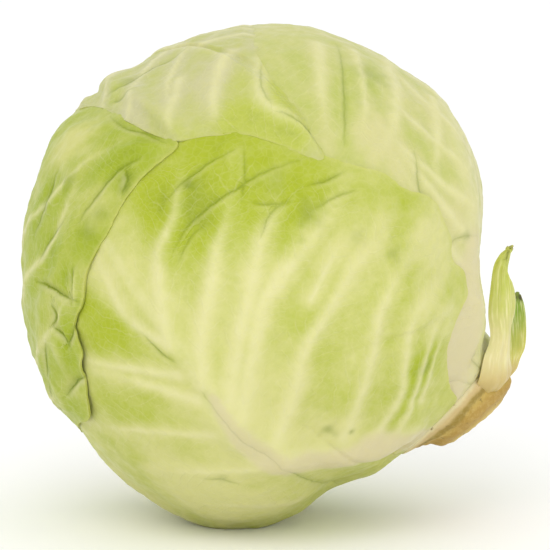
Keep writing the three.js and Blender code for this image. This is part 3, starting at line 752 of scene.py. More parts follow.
def edit_all(operator, **settings):
    """Runs a mesh operator on the whole of the active piece."""
    bpy.ops.object.mode_set(mode="EDIT")
    bpy.ops.mesh.select_all(action="SELECT")
    operator(**settings)
    bpy.ops.object.mode_set(mode="OBJECT")


def face_away(piece, inner):
    """Turns an open sheet's faces away from a point on its inner side, in millimetres."""
    face = piece.data.polygons[len(piece.data.polygons) // 2]
    if face.normal.dot(face.center - Vector(inner * MM)) < 0:
        edit_all(bpy.ops.mesh.flip_normals)


def thicken(piece, flesh):
    """Gives an open sheet flesh on its inner side, in millimetres for each of its points."""
    thickest = float(flesh.max())
    group = piece.vertex_groups.new(name="flesh")
    for index, share in enumerate(flesh / thickest):
        group.add([index], float(share), "REPLACE")
    solid = piece.modifiers.new("flesh", "SOLIDIFY")
    solid.thickness = thickest * MM
    solid.offset = -1
    solid.vertex_group = "flesh"
    bpy.ops.object.modifier_apply(modifier=solid.name)


def finish_piece(piece, node, material):
    piece.data.materials.clear()
    piece.data.materials.append(material)
    bpy.ops.object.shade_smooth_by_angle(angle=math.radians(50))
    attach(piece, "root")
    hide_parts(node)


# Leaves


def fan_veins(leaf):
    """Veins that leave a leaf's midrib on both sides and bend towards its tip."""
    if not leaf.fan:
        return []
    count, first, spread, longest = leaf.fan
    thick, thin, tip = FAN_WIDTHS
    path = leaf.main_rib.rays
    veins = []
    for number in range(count):
        at = int(lerp(first, FAN_END, number / (count - 1)) * (len(path) - 2))
        ahead = unit(path[at + 1] - path[at])
        length = lerp(longest, FAN_SHORTEST, number / count)
        for side in (-1, 1):
            across = np.cross(path[at], ahead) * side
            line = []
            for step in (0, 0.25, 0.5, 0.75, 1):
                bent = spread - FAN_BEND * step
                heading = across * math.sin(bent) + ahead * math.cos(bent)
                line.append(unit(path[at] + length * step * heading))
            veins.append((lerp(thick, thin, number / count), tip, line))
    return veins


def vein_marks(leaf, level, rays):
    """Paleness and height of the veins, with three measures that the fine branches start from:
    how far aside of a vein a ray is, how far along it, and whether it is clear of the next."""
    blank = np.zeros(len(rays))
    vein, relief, course, inside = blank, blank, blank, blank
    nearest, second = blank + FAR, blank + FAR
    wander = VEIN_WANDER * ripple(rays, 9, 3)
    drawn = [(foot, tip, seen(line, level)) for foot, tip, line in SEEN_VEINS.get(leaf.name, [])]
    for number, (foot, tip, places) in enumerate(drawn + fan_veins(leaf)):
        line = Line(places)
        away, along = line.nearest(rays)
        length = math.degrees(np.linalg.norm(np.diff(line.rays, axis=0), axis=1).sum()) * ARC
        closer = away < nearest
        bears = smoothstep(along, 0, BRANCHED[0]) * (1 - smoothstep(along, BRANCHED[1], 1))
        inside = np.where(closer, bears, inside)
        second = np.where(closer, nearest, np.minimum(second, away))
        course = np.where(closer, along * length + BRANCH_SHIFT * number, course)
        nearest = np.where(closer, away, nearest)
        width = lerp(foot, tip, along)
        fade = 1 - smoothstep(along, *VEIN_FADE)
        vein = np.maximum(vein, fade * np.exp(-(((away + wander) / width) ** 2)))
        relief = np.maximum(relief, fade * width / 3 * np.exp(-((away / width) ** 2)))
    away, along = leaf.main_rib.nearest(rays)
    width = leaf.rib_width * lerp(*MIDRIB_WIDTHS, along)
    vein = np.maximum(vein, lerp(1, MIDRIB_TIP, along) * np.exp(-((away / width) ** 4)))
    between = smoothstep(second - nearest, *BRANCH_ROOM) * inside
    return dict(vein=vein, relief=relief, aside=nearest, course=course, between=between)


def fold_marks(leaf, level, rays):
    """Painted shade and depth of the folds, the painted highlight where they rise, and how sharp the
    painted shade line along the crease of the nearest one is, with the millimetres beside it, above 0 on
    its left."""
    blank = np.zeros(len(rays))
    fold, dip, painted_ridge_highlight, crease, beside = blank, blank, blank, blank, blank + FOLD_FAR
    for depth, width, spots in SEEN_FOLDS.get(leaf.name, []):
        line = Line(seen(spots, level))
        away, along = line.nearest(rays)
        taper = np.sqrt(np.sin(math.pi * np.clip(along, FOLD_ENDS, 1 - FOLD_ENDS)))
        shape = taper * np.exp(-((away / width) ** 2))
        dip = dip + depth * taper * np.exp(-((away / (width * SWELL)) ** 2))
        if depth < 0:
            # A fold that rises gets a painted highlight rather than painted shade.
            painted_ridge_highlight = np.maximum(painted_ridge_highlight, -RIDGE_HIGHLIGHT * depth * shape)
            continue
        # Painted shade over the fold, and the sharpness of the painted shade line along its crease.
        dark, sharp = (min(1, start + slope * depth) for start, slope in (FOLD_PAINTED_SHADE, CREASE_SHARP))
        fold = np.maximum(fold, dark * shape)
        closer = away < np.abs(beside)
        sharp = sharp * taper * (1 - smoothstep(away, *CREASE_REACH))
        crease = np.where(closer, sharp, crease)
        beside = np.where(closer, line.side(rays) * away, beside)
    return dict(fold=fold, dip=dip, painted_ridge_highlight=painted_ridge_highlight, crease=crease, beside=beside)


def area_marks(leaf, level, rays):
    """Greenness, stains and the thick white of the leaf's stalk."""
    green = np.full(len(rays), leaf.base_green)
    for x, z, radius, strength in SEEN_GREEN.get(leaf.name, []):
        away = angle_to(rays, seen([(x, z)], level)[0]) * ARC
        green += strength * np.exp(-((away / radius) ** 2))
    stain, white = np.zeros(len(rays)), np.zeros(len(rays))
    ragged = 1 + STAIN_RAGGED * ripple(rays, 5, 11)
    for x, z, radius, strength in SEEN_STAINS.get(leaf.name, []):
        away = angle_to(rays, seen([(x, z)], level)[0]) * ARC * ragged
        stain = np.maximum(stain, strength * np.exp(-((away / radius) ** 2)))
    uneven = 1 + WHITE_UNEVEN * ripple(rays, 12, 7)
    for foot, tip, spots in SEEN_WHITE.get(leaf.name, []):
        away, along = Line(seen(spots, level)).nearest(rays)
        width = lerp(foot, tip, along) * uneven
        white = np.maximum(white, lerp(1, WHITE_TIP, along) * np.exp(-((away / width) ** 6)))
    return dict(green=green, stain=stain, white=white)


def neck_height(rays):
    """The height over the heart of the stump's neck in a ray's direction from the stump."""
    up = direction(STUMP[0] + 90, 90)
    flat = rays - np.outer(rays @ STUMP_AXIS, STUMP_AXIS)
    return NECK_RISE[0] + NECK_RISE[1] * (unit(flat + 1e-9) @ up)


def leaf_surface(leaf, level, rays):
    """The outer height of a leaf over the heart with its fine relief, and its marks."""
    veins, folds = vein_marks(leaf, level, rays), fold_marks(leaf, level, rays)
    # The painted highlight of rising folds is laid on with the pale of the veins.
    veins["vein"] = np.maximum(veins["vein"], folds.pop("painted_ridge_highlight"))
    inset = leaf.inset(rays)
    kept, all_back = UNPRESSED
    inner = smoothstep(inset, 0, all_back)
    crinkle = leaf.wave * bumps(rays, CRINKLES, level)
    blister = bumps(rays, BLISTERS, level) * (1 - veins["vein"])
    height = skin_heights(rays)[level]
    height += RELIEF * veins.pop("relief") - folds.pop("dip") * np.minimum(1, 0.5 + inner)
    height += crinkle * lerp(kept, 1, inner) + blister
    near, far = NECK_BLEND
    sunk = 1 - smoothstep(angle_to(rays, STUMP_AXIS), STUMP_NECK + near, COLLAR + far)
    height = lerp(height, neck_height(rays) - NECK_UNDER, sunk)
    return height, {**veins, **folds, **area_marks(leaf, level, rays), "inset": np.maximum(inset, 0)}


def ragged_margin(leaf, level, rays, out):
    """Degrees by which the margin goes in and out, far more where the front doesn't show it."""
    frill = leaf.frill * smoothstep(out, FRILLED, 1) * (bumps(rays, FRILL, level) + bumps(rays, FINE_FRILL))
    unseen = smoothstep(out, RAGGED, 1) * smoothstep(rays[:, 1], 0.1, 0.4)
    clear = smoothstep(angle_to(rays, STUMP_AXIS), *(COLLAR + degrees for degrees in RAGGED_CLEAR))
    return (frill + unseen * bumps(rays, UNSEEN_MARGIN)) * clear


def build_leaf(name, material):
    leaf = LEAF_SHAPES[name]
    level = STACK.index(name)
    detail = leaf.detail
    start_fresh()
    bpy.ops.mesh.primitive_grid_add(x_subdivisions=detail, y_subdivisions=detail, size=2)
    piece = name_piece(f"{name}_skin")
    x, y = local_points(piece)[:, :2].T
    across, along = x * np.sqrt(1 - y * y / 2), y * np.sqrt(1 - x * x / 2)
    out = np.clip(np.hypot(across, along), 0, 1)
    turn = leaf.turn_at(np.mod(np.arctan2(along, across) / math.tau, 1))
    edge = leaf.edge(turn, SKIN_COLLAR)
    ragged = ragged_margin(leaf, level, leaf.at(turn, edge * out), out)
    rays = leaf.at(turn, (edge + ragged) * out)
    height, layers = leaf_surface(leaf, level, rays)
    move_points(piece, placed(rays, height))
    for layer, values in layers.items():
        set_attribute(piece, layer, values)
    face_away(piece, settle(np.zeros(3)))
    thicken(piece, leaf.thickness(rays) + FLESH_EXTRA)
    finish_piece(piece, name, material)


# Stump


def stump_row(row, turn):
    """Points of one row of the stump's skin, from 0 in the middle of the cut to the last row
    under the neck."""
    up = direction(STUMP[0] + 90, 90)
    front = np.cross(STUMP_AXIS, up)
    cut_axis, cut_up = direction(CUT_BEARING, 90), direction(CUT_BEARING + 90, 90)
    cut_front = np.cross(cut_axis, cut_up)

    def on_heart(degrees, height):
        out = np.radians(degrees) * np.ones_like(turn)
        flat = up * np.cos(turn)[:, None] + front * np.sin(turn)[:, None]
        rays = STUMP_AXIS * np.cos(out)[:, None] + flat * np.sin(out)[:, None]
        return rays * (heart_radius(rays) + height)[:, None]

    def on_cut(share, dome):
        radius = CUT_RADIUS * share * (1 + 0.035 * np.sin(3 * turn + 1) + 0.02 * np.sin(5 * turn))
        flat = cut_up * np.cos(turn)[:, None] + cut_front * np.sin(turn)[:, None]
        return CUT_MIDDLE + cut_axis * dome + flat * radius[:, None]

    rim = on_cut(1, CUT_RIM) + cut_axis * CUT_SCAR * np.sin(4 * turn)[:, None]
    neck_scar = 0.3 * CUT_SCAR * np.sin(4 * turn + 2)
    neck = on_heart(STUMP_NECK, NECK_RISE[0] + NECK_RISE[1] * np.cos(turn) + neck_scar)
    stations = np.array([
        on_cut(0, CUT_DOME), on_cut(0.5, CUT_DOME * 0.85), on_cut(0.85, CUT_DOME * 0.4), rim,
        lerp(rim, neck, 0.45), neck, on_heart(STUMP_NECK, ROOT_HEIGHT), on_heart(STUMP_NECK, GAP),
        on_heart(STUMP_NECK / 2, GAP), on_heart(0, GAP),
    ])
    rows = spline(stations.reshape(len(stations), -1), STUMP_ROWS + 1)
    return rows[row].reshape(len(turn), 3)


def build_stump(material):
    start_fresh()
    bpy.ops.mesh.primitive_uv_sphere_add(segments=STUMP_SIDES, ring_count=STUMP_ROWS, radius=1)
    piece = name_piece("stump_skin")
    ball = local_points(piece)
    rows = np.rint(np.degrees(np.arccos(np.clip(ball[:, 2], -1, 1))) / 180 * STUMP_ROWS).astype(int)
    turns = np.arctan2(ball[:, 1], ball[:, 0])
    points = np.empty((len(ball), 3))
    for row in range(STUMP_ROWS + 1):
        here = rows == row
        points[here] = stump_row(row, turns[here])
    away = points - CUT_MIDDLE
    cut_axis = direction(CUT_BEARING, 90)
    radial = np.linalg.norm(away - np.outer(away @ cut_axis, cut_axis), axis=1) / CUT_RADIUS
    down = rows / STUMP_ROWS
    on_cut = 1 - smoothstep(down, *CUT_END)
    height, around, lengthways = STUMP_SCARS
    scars = height * np.sin(turns * around + down * lengthways) * (1 - on_cut) * smoothstep(down, 0.3, 0.4)
    depth, radius, width = CUT_RING
    ring = -depth * np.exp(-(((radial - radius) / width) ** 2)) * on_cut
    rise = (bumps(unit(points), STUMP_BUMPS) + scars + ring) * (1 - smoothstep(down, *STUMP_HIDDEN))
    points += unit(points - CORE) * rise[:, None]
    move_points(piece, settle(points))
    for name, values in (("cut", on_cut), ("radial", radial), ("down", down)):
        set_attribute(piece, name, values)
    edit_all(bpy.ops.mesh.normals_make_consistent, inside=False)
    finish_piece(piece, "stump", material)


# Torn stalks


def build_stalk(name, material):
    stalk = STALKS[name]
    start_fresh()
    bpy.ops.mesh.primitive_grid_add(x_subdivisions=STALK_COLUMNS, y_subdivisions=STALK_ROWS, size=2)
    piece = name_piece(f"{name}_skin")
    across, along = (local_points(piece)[:, :2].T + 1) / 2
    row = np.rint(along * STALK_ROWS).astype(int)
    left, right = spline(stalk["left"], STALK_ROWS + 1), spline(stalk["right"], STALK_ROWS + 1)
    tangent = unit(np.gradient(left, axis=0))
    out = unit(np.cross(right - left, tangent))
    hump = 4 * across * (1 - across)
    torn = smoothstep(along, TORN_FROM, 1.0)
    long, slow, fast = TORN_JAG
    jag = torn * long * np.sin(across * slow + 1) * np.sin(across * fast)
    points = lerp(left[row], right[row], across[:, None]) + tangent[row] * jag[:, None]
    high, fast = STALK_RIBS
    ribs = high * np.sin(across * fast + 1.5 * np.sin(along * 5)) * hump * (1 - torn)
    high, fast = STALK_WAVER
    waver = high * np.sin(along * fast + 2) * (across - 0.5)
    past_fold = along - lerp(*stalk["fold"], across)
    flap = smoothstep(past_fold, *FLAP_EDGE)
    high, wide = FOLD_BULGE
    bend = high * np.exp(-((past_fold / wide) ** 2)) - FLAP_DROP * flap * across
    thickness = lerp(stalk["foot"], stalk["tip"], smoothstep(along, 0, TORN_FROM))
    thickness = thickness * lerp(STALK_SIDE, 1, hump)
    sunk = SUNK_FOOT[0] * (1 - smoothstep(along, 0, SUNK_FOOT[1]))
    height = stalk["bow"] * hump + thickness / 2 + ribs + waver + bend - sunk
    move_points(piece, settle(points + out[row] * height[:, None]))
    for layer, values in (("along", along), ("across", across), ("flap", flap)):
        set_attribute(piece, layer, values)
    far_inside = -1000 * out[STALK_ROWS // 2]
    face_away(piece, settle(far_inside))
    thicken(piece, thickness)
    finish_piece(piece, name, material)


# Materials


def linear(colour):
    """A linear RGBA colour from an sRGB hex value."""
    parts = [int(colour[start : start + 2], 16) / 255 for start in (1, 3, 5)]
    light = [part / 12.92 if part <= 0.04045 else ((part + 0.055) / 1.055) ** 2.4 for part in parts]
    return (*light, 1.0)


def fill_inputs(tree, node, inputs):
    """Puts values or sockets on a node's inputs."""
    for name, value in inputs.items():
        if isinstance(value, bpy.types.NodeSocket):
            tree.links.new(value, node.inputs[name])
        else:
            node.inputs[name].default_value = value


def add_node(tree, kind, settings=None, inputs=None):
    """A node of that kind, with its settings and with values or sockets on its inputs."""
    node = tree.nodes.new(kind)
    for name, value in (settings or {}).items():
        setattr(node, name, value)
    fill_inputs(tree, node, inputs or {})
    return node


def per_metre(millimetres):
    """The texture scale whose features are that size."""
    return 1000 / millimetres


class Look:
    """A new material, with short calls for the nodes that its looks are worked out by."""

    def __init__(self, name):
        self.material = bpy.data.materials.new(name)
        self.material.use_nodes = True
        self.tree = self.material.node_tree
        self.tree.nodes.clear()
        self.shader = self.add("ShaderNodeBsdfPrincipled")
        self.add("ShaderNodeOutputMaterial", {}, {0: self.shader.outputs[0]})
        self.place = self.add("ShaderNodeTexCoord").outputs["Object"]

    def add(self, kind, settings=None, inputs=None):
        return add_node(self.tree, kind, settings, inputs)

    def calculate(self, operation, *values, clamp=False):
        settings = {"operation": operation, "use_clamp": clamp}
        return self.add("ShaderNodeMath", settings, dict(enumerate(values))).outputs[0]

    def times(self, first, second, clamp=False):
        return self.calculate("MULTIPLY", first, second, clamp=clamp)

    def times_plus(self, value, factor, addend, clamp=False):
        return self.calculate("MULTIPLY_ADD", value, factor, addend, clamp=clamp)

    def fit(self, value, low, high, new_low=0.0, new_high=1.0):
        """A value between low and high turned smoothly into one between the new limits."""
        inputs = {"Value": value, "From Min": low, "From Max": high, "To Min": new_low, "To Max": new_high}
        return self.add("ShaderNodeMapRange", {"interpolation_type": "SMOOTHSTEP"}, inputs).outputs[0]

    def attribute(self, name):
        return self.add("ShaderNodeAttribute", {"attribute_name": name}).outputs["Fac"]

    def noise(self, size, detail=3.0, roughness=0.55, distortion=0.0):
        """Noise with features of that size in millimetres."""
        inputs = {
            "Vector": self.place, "Scale": per_metre(size), "Detail": detail, "Roughness": roughness,
            "Distortion": distortion,
        }
        return self.add("ShaderNodeTexNoise", {}, inputs).outputs["Fac"]

    def swing(self, noise, amount, middle):
        """A middle value that noise moves to both sides."""
        return self.times_plus(self.calculate("SUBTRACT", noise, 0.5), amount, middle)

    def blend(self, part, first, second):
        inputs = {0: part, 6: first, 7: second}
        return self.add("ShaderNodeMix", {"data_type": "RGBA"}, inputs).outputs[2]

    def paint(self, colour, *coats):
        """A colour under coats, each given by where it lies, how much it covers and its hex."""
        for part, cover, coat in coats:
            colour = self.blend(self.times(part, cover), colour, linear(coat))
        return colour

    def finish(self, colour, roughness, relief=None, bump=(0, 0), light=None):
        """Puts the looks on the shader. A bump is given by its strength and its millimetres, and
        light that goes into the flesh by its share, its reach in red, green and blue, and a scale."""
        inputs = {"Base Color": colour, "Roughness": roughness}
        if relief is not None:
            strength, depth = bump
            bumpy = {"Strength": strength, "Distance": depth * MM, "Height": relief}
            inputs["Normal"] = self.add("ShaderNodeBump", {}, bumpy).outputs[0]
        if light:
            share, reach, scale = light
            inputs["Subsurface Weight"] = share
            inputs["Subsurface Radius"] = reach
            inputs["Subsurface Scale"] = scale * MM
        fill_inputs(self.tree, self.shader, inputs)
        return self.material


def leaf_material(name, settings, pale, green, deep):
    """Living cabbage leaf: a waxy skin over wet flesh, so soft broad highlights and light that
    goes a little way in. Its veins are paler, and between them the green shows in patches."""
    look = Look(name)
    times, fit, attribute = look.times, look.fit, look.attribute
    aside, course, between = attribute("aside"), attribute("course"), attribute("between")
    patches, mottle, streaks = look.noise(24, 4, 0.6, 0.4), look.noise(5, 4, 0.6), look.noise(1.6, 2, 0.5)
    field = look.times_plus(fit(aside, 0.5, 6.5), 0.22, -0.11)
    tone = look.calculate("ADD", attribute("green"), field)
    tone = look.swing(mottle, 0.45, look.swing(patches, 0.9, tone))
    branch = times(branches(look, aside, course, 5.5, 1.15), between)
    twig = times(branches(look, aside, times(course, -1.0), 2.6, 0.5), between)
    net = look.add(
        "ShaderNodeTexVoronoi", {"feature": "DISTANCE_TO_EDGE"},
        {"Vector": warped(look), "Scale": per_metre(2.6)},
    ).outputs["Distance"]
    vein_part = times(attribute("vein"), fit(mottle, 0.2, 0.75, 0.8, 0.55), clamp=True)
    # The painted shade line along each crease, and the painted highlight on its lit side.
    painted_crease_shade, lit_side = crease_marks(look)
    colour = look.blend(fit(tone, -0.1, 0.95), linear(pale), linear(green))
    colour = look.paint(
        colour,
        (fit(tone, 0.85, 1.6), 0.75, deep),
        (branch, 0.14, settings.vein),
        (twig, 0.06, settings.vein),
        (fit(net, 0.0, 0.14, 1.0, 0.0), 0.07, settings.vein),
        (vein_part, 1.0, settings.vein),
        (attribute("stain"), 0.75, deep),
        # Painted shade over the folds.
        (attribute("fold"), 0.55, deep),
        # Painted highlight on the lit side of each crease.
        (lit_side, 0.4, settings.vein),
        # Painted shade along each crease.
        (painted_crease_shade, 0.75, deep),
        (fit(attribute("inset"), 0.0, 1.6, 1.0, 0.0), 0.35, RIM_COLOUR),
        (attribute("white"), 1.0, WHITE_COLOUR),
    )
    net_ridge = fit(net, 0.0, 0.2, 1.0, 0.0)
    relief = mottle
    for part, height in (
        (branch, 0.5), (net_ridge, 0.15), (streaks, 0.12), (painted_crease_shade, -1.5), (lit_side, 0.8),
    ):
        relief = look.times_plus(part, height, relief)
    fill_inputs(look.tree, look.shader, {"IOR": 1.42, "Specular IOR Level": 0.35})
    rough = fit(mottle, 0.3, 0.7, settings.gloss - 0.05, settings.gloss + 0.1)
    return look.finish(colour, rough, relief, (0.35, 0.4), (0.22, FLESH_REACH, 3))


def crease_marks(look):
    """The painted shade line of each crease, which strays a little, and the painted highlight of the lit
    strip on its right.
    """
    strayed = look.times_plus(look.noise(4, 3, 0.6), 1.6, -0.8)
    beside = look.calculate("ADD", look.attribute("beside"), strayed)
    line = look.fit(look.calculate("ABSOLUTE", beside), 0.05, 0.5, 1.0, 0.0)
    strip = look.times(look.fit(beside, -0.35, -1.0), look.fit(beside, -3.2, -1.2))
    crease = look.attribute("crease")
    return look.times(crease, line), look.times(crease, strip)


def branches(look, aside, course, spacing, lean):
    """Thin veins that branch off the nearest drawn vein, a spacing apart and leaning forward."""
    stray = look.times_plus(look.noise(9, 2), 9.0, course)
    lane = look.times_plus(aside, -lean, stray)
    part = look.calculate("FRACT", look.calculate("DIVIDE", lane, spacing))
    off_line = look.calculate("ABSOLUTE", look.calculate("SUBTRACT", part, 0.5))
    thin = look.calculate("MAXIMUM", look.times_plus(aside, -0.006, 0.13), 0.05)
    return look.fit(look.calculate("DIVIDE", off_line, thin), 0.2, 1.0, 1.0, 0.0)


def warped(look):
    """Object coordinates pushed about by a few millimetres, so that a net on them isn't even."""
    inputs = {"Vector": look.place, "Scale": per_metre(12), "Detail": 2.0}
    push = look.add("ShaderNodeTexNoise", {}, inputs).outputs["Color"]
    inputs = {0: push, 1: (6 * MM,) * 3, 2: look.place}
    return look.add("ShaderNodeVectorMath", {"operation": "MULTIPLY_ADD"}, inputs).outputs[0]


def stump_material():
    """Cut cabbage stem that has dried: ochre fibres, brown where the cut has oxidised, painted shade behind
    the rim.
    """
    look = Look("dried_cut_stem")
    fit = look.fit
    blotch, grain = look.noise(9, 4, 0.65, 0.5), look.noise(1.4, 4, 0.7)
    spots = fit(look.noise(3.2, 2, 0.5), 0.66, 0.74)
    down = look.swing(blotch, 0.07, look.attribute("down"))
    # Painted shade in a band round the stump's side, just behind the cut's rim.
    painted_shade_band = look.times(fit(down, 0.37, 0.42), fit(down, 0.5, 0.45))
    side = look.blend(fit(blotch, 0.35, 0.7), linear("#bda14c"), linear("#a5842f"))
    pith = look.blend(fit(look.attribute("radial"), 0.55, 0.8), linear("#c6ae66"), linear("#ab8a3c"))
    colour = look.paint(
        look.blend(look.attribute("cut"), side, pith),
        (painted_shade_band, 0.8, "#8a7426"),
        (fit(down, 0.445, 0.5), 1.0, "#c6ae78"),
        (fit(down, 0.5, 0.56), 1.0, "#d8cda0"),
        (spots, 0.8, "#6f5a1c"),
        (fit(grain, 0.4, 0.75), 0.22, "#e6d69c"),
    )
    relief = look.times_plus(grain, 0.4, blotch)
    rough = fit(grain, 0.3, 0.7, 0.6, 0.8)
    return look.finish(colour, rough, relief, (0.6, 0.8), (0.1, STEM_REACH, 2))


def stalk_material(name, flesh, tip, dried, dried_from):
    """Torn leaf stalk: crisp pale flesh with fine fibres along it, dried where it was torn."""
    look = Look(name)
    fit, along = look.fit, look.attribute("along")
    inputs = {0: look.attribute("across"), 1: look.times(along, 0.35), 2: 0.0}
    fibre_place = look.add("ShaderNodeCombineXYZ", {}, inputs).outputs[0]
    inputs = {"Vector": fibre_place, "Scale": 16.0, "Detail": 3.0}
    fibres = look.add("ShaderNodeTexNoise", {}, inputs).outputs["Fac"]
    blotch = look.noise(7, 3, 0.6)
    uneven = look.calculate("SUBTRACT", blotch, 0.5)
    part = look.times_plus(uneven, 0.8, fit(along, 0.25, 0.8), clamp=True)
    colour = look.paint(
        look.blend(part, linear(flesh), linear(tip)),
        (fit(fibres, 0.45, 0.75), 0.5, "#ece6b4"),
        (fit(look.times_plus(blotch, 0.12, along), 0.36, 0.18), 0.85, "#c3ab68"),
        (look.attribute("flap"), 0.75, tip),
        (look.times(fit(along, dried_from, 1.0), fit(blotch, 0.3, 0.55)), 1.0, dried),
    )
    return look.finish(colour, fit(blotch, 0.3, 0.7, 0.45, 0.6), fibres, (0.4, 0.5), (0.2, FLESH_REACH, 3))


def paper_material(colour):
    """Matt studio paper with a faint tooth."""
    look = Look("studio_paper")
    return look.finish(look.paint(linear(colour), (look.noise(2, 2), 0.04, "#e8e8e6")), 0.9)


# Settings and operators


def colour_property(name, text, default):
    return bpy.props.StringProperty(name=name, description=text, default=default)


class CabbageLeafSettings(bpy.types.PropertyGroup):
    pale: colour_property("Pale leaf", "Colour of leaf that grew in the shade", "#ccca86")
    green: colour_property("Green leaf", "Colour of leaf that saw the light", "#a2ae22")
    # Besides stains, the deep green paints the shade over folds and along creases.
    deep: colour_property("Deep green", "Colour of stains and folds", "#6f800f")
    # The vein colour also paints the highlights beside creases and along rising folds.
    vein: colour_property("Veins", "Colour of veins and ribs", "#d6d29c")
    gloss: bpy.props.FloatProperty(
        name="Roughness", description="How dull the wax makes the leaf", default=0.42, min=0, max=1,
        subtype="FACTOR",
    )


class CabbageStageSettings(bpy.types.PropertyGroup):
    paper: colour_property("Paper", "Colour of the floor and backdrop", "#fefefe")
    key_power: bpy.props.FloatProperty(
        name="Key light", description="Power of the large soft light above the viewer", default=5,
        min=0, unit="POWER",
    )
    view_width: bpy.props.FloatProperty(
        name="View width", description="Width that the picture takes in at the head", default=0.19635,
        min=0.05, unit="LENGTH",
    )


class CABBAGE_OT_leaf(bpy.types.Operator):
    """Adds one wrapper leaf"""

    bl_idname = "cabbage.leaf"
    bl_label = "Leaf"
    leaf: bpy.props.EnumProperty(
        name="Leaf", description="Which wrapper leaf", items=[(name, name, name) for name in STACK]
    )

    def execute(self, context):
        settings = context.scene.cabbage_leaf
        tones = {
            "leaf_front": (settings.pale, settings.green),
            "leaf_left": ("#c3c274", "#99a822"),
            "leaf_top": ("#bebb8b", "#afb74a"),
            "leaf_right": ("#c8c488", "#abb552"),
            "leaf_back": ("#c8c888", "#a2af3c"),
        }
        pale, green = tones[self.leaf]
        build_leaf(self.leaf, leaf_material(f"{self.leaf}_wax", settings, pale, green, settings.deep))
        return {"FINISHED"}


class CABBAGE_OT_stump(bpy.types.Operator):
    """Adds the cut stump"""

    bl_idname = "cabbage.stump"
    bl_label = "Stump"

    def execute(self, context):
        build_stump(stump_material())
        return {"FINISHED"}


class CABBAGE_OT_stalks(bpy.types.Operator):
    """Adds the two torn leaf stalks"""

    bl_idname = "cabbage.stalks"
    bl_label = "Torn stalks"

    def execute(self, context):
        front = stalk_material("torn_pale_stalk", "#d6cb92", "#b6bc52", "#a9a44a", 0.97)
        rear = stalk_material("torn_green_stalk", "#c9c25c", "#7f9c1c", "#4d4420", 0.78)
        build_stalk("torn_stalk_front", front)
        build_stalk("torn_stalk_rear", rear)
        return {"FINISHED"}


class CABBAGE_OT_heart(bpy.types.Operator):
    """Gives the heart, which the leaves hide, the skin of a pale inner leaf"""

    bl_idname = "cabbage.heart"
    bl_label = "Heart"

    def execute(self, context):
        settings = context.scene.cabbage_leaf
        material = leaf_material("heart_wax", settings, "#e3dfb4", "#d3d48c", "#b9bf5e")
        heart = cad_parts["heart"]
        heart.data.materials.clear()
        heart.data.materials.append(material)
        return {"FINISHED"}


class CABBAGE_OT_stage(bpy.types.Operator):
    """Adds the floor and backdrop, the lights and the camera"""

    bl_idname = "cabbage.stage"
    bl_label = "Stage"

    def execute(self, context):
        settings = context.scene.cabbage_stage
        add_backdrop(paper_material(settings.paper))
        add_lights(context.scene, settings.key_power)
        add_camera(context.scene, settings.view_width)
        return {"FINISHED"}


def add_backdrop(material):
    """A sweep of paper: a level floor that bends up behind the head."""
    start_fresh()
    bpy.ops.mesh.primitive_plane_add(size=PAPER_SIZE, location=(0, 0, 0))
    sweep = name_piece("paper_sweep")
    edit_all(bpy.ops.mesh.subdivide, number_cuts=PAPER_CUTS)
    for vertex in sweep.data.vertices:
        past = vertex.co.y - BEND_START
        if past > 0:
            angle = min(past / BEND_RADIUS, math.pi / 2)
            rise = max(0.0, past - BEND_RADIUS * math.pi / 2)
            vertex.co.y = BEND_START + BEND_RADIUS * math.sin(angle)
            vertex.co.z = BEND_RADIUS * (1 - math.cos(angle)) + rise
    bpy.ops.object.shade_smooth()
    sweep.data.materials.append(material)


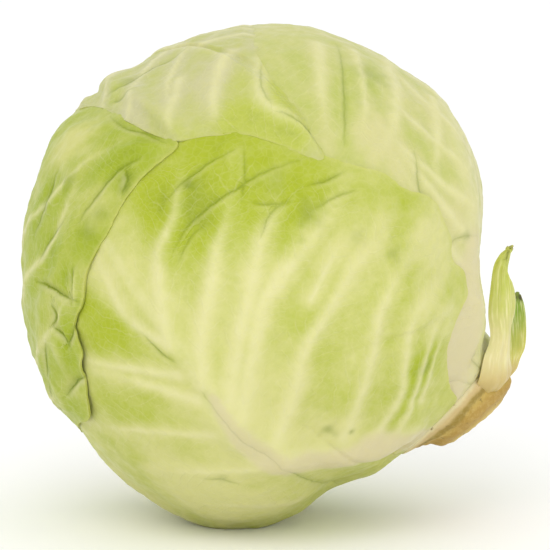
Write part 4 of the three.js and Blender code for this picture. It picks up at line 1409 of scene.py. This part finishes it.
def add_lights(scene, key_power):
    """A large soft key above the viewer, a fill on the right and an even white surround."""
    world = bpy.data.worlds.new("white_surround")
    scene.world = world
    world.use_nodes = True
    surround = world.node_tree.nodes["Background"]
    fill_inputs(world.node_tree, surround, {"Color": (1, 1, 1, 1), "Strength": 1.0})
    aim = Vector((0, 0, REST_HEIGHT * MM))
    for name, place, size, power in (
        ("key", (-0.25, -1.1, 0.95), 0.9, key_power),
        ("fill", (0.95, -0.8, 0.35), 0.8, key_power * FILL_SHARE),
    ):
        start_fresh()
        bpy.ops.object.light_add(type="AREA", location=place)
        light = bpy.context.object
        light.name = name
        light.data.energy = power
        light.data.size = size
        light.rotation_euler = (aim - Vector(place)).to_track_quat("-Z", "Y").to_euler()


def add_camera(scene, view_width):
    start_fresh()
    tilt = math.radians(FRONT_VIEW_TILT)
    place = settle(np.array([PICTURE_MIDDLE[0], -SEEN_DISTANCE, PICTURE_MIDDLE[1]])) * MM
    bpy.ops.object.camera_add(location=place, rotation=(math.pi / 2 - tilt, 0, 0))
    camera = bpy.context.object
    camera.name = "front_camera"
    camera.data.sensor_width = SENSOR
    camera.data.lens = SENSOR * SEEN_DISTANCE * MM / view_width
    camera.data.clip_start = 0.01
    scene.camera = camera
    scene.view_settings.view_transform = "Standard"


class CABBAGE_PT_panel(bpy.types.Panel):
    """Lists the pieces of the cabbage head"""

    bl_label = "Cabbage head"
    bl_space_type = "VIEW_3D"
    bl_region_type = "UI"
    bl_category = "Cabbage"

    def draw(self, context):
        for name in STACK:
            self.layout.operator("cabbage.leaf", text=name).leaf = name
        for operator in ("cabbage.stump", "cabbage.stalks", "cabbage.heart", "cabbage.stage"):
            self.layout.operator(operator)


CLASSES = (
    CabbageLeafSettings, CabbageStageSettings, CABBAGE_OT_leaf, CABBAGE_OT_stump, CABBAGE_OT_stalks,
    CABBAGE_OT_heart, CABBAGE_OT_stage, CABBAGE_PT_panel,
)


def register():
    for item in CLASSES:
        bpy.utils.register_class(item)
    bpy.types.Scene.cabbage_leaf = bpy.props.PointerProperty(type=CabbageLeafSettings)
    bpy.types.Scene.cabbage_stage = bpy.props.PointerProperty(type=CabbageStageSettings)


def unregister():
    del bpy.types.Scene.cabbage_stage
    del bpy.types.Scene.cabbage_leaf
    for item in reversed(CLASSES):
        bpy.utils.unregister_class(item)


def main():
    register()
    for name in STACK:
        bpy.ops.cabbage.leaf(leaf=name)
    bpy.ops.cabbage.stump()
    bpy.ops.cabbage.stalks()
    bpy.ops.cabbage.heart()
    bpy.ops.cabbage.stage()


if __name__ == "__main__":
    main()
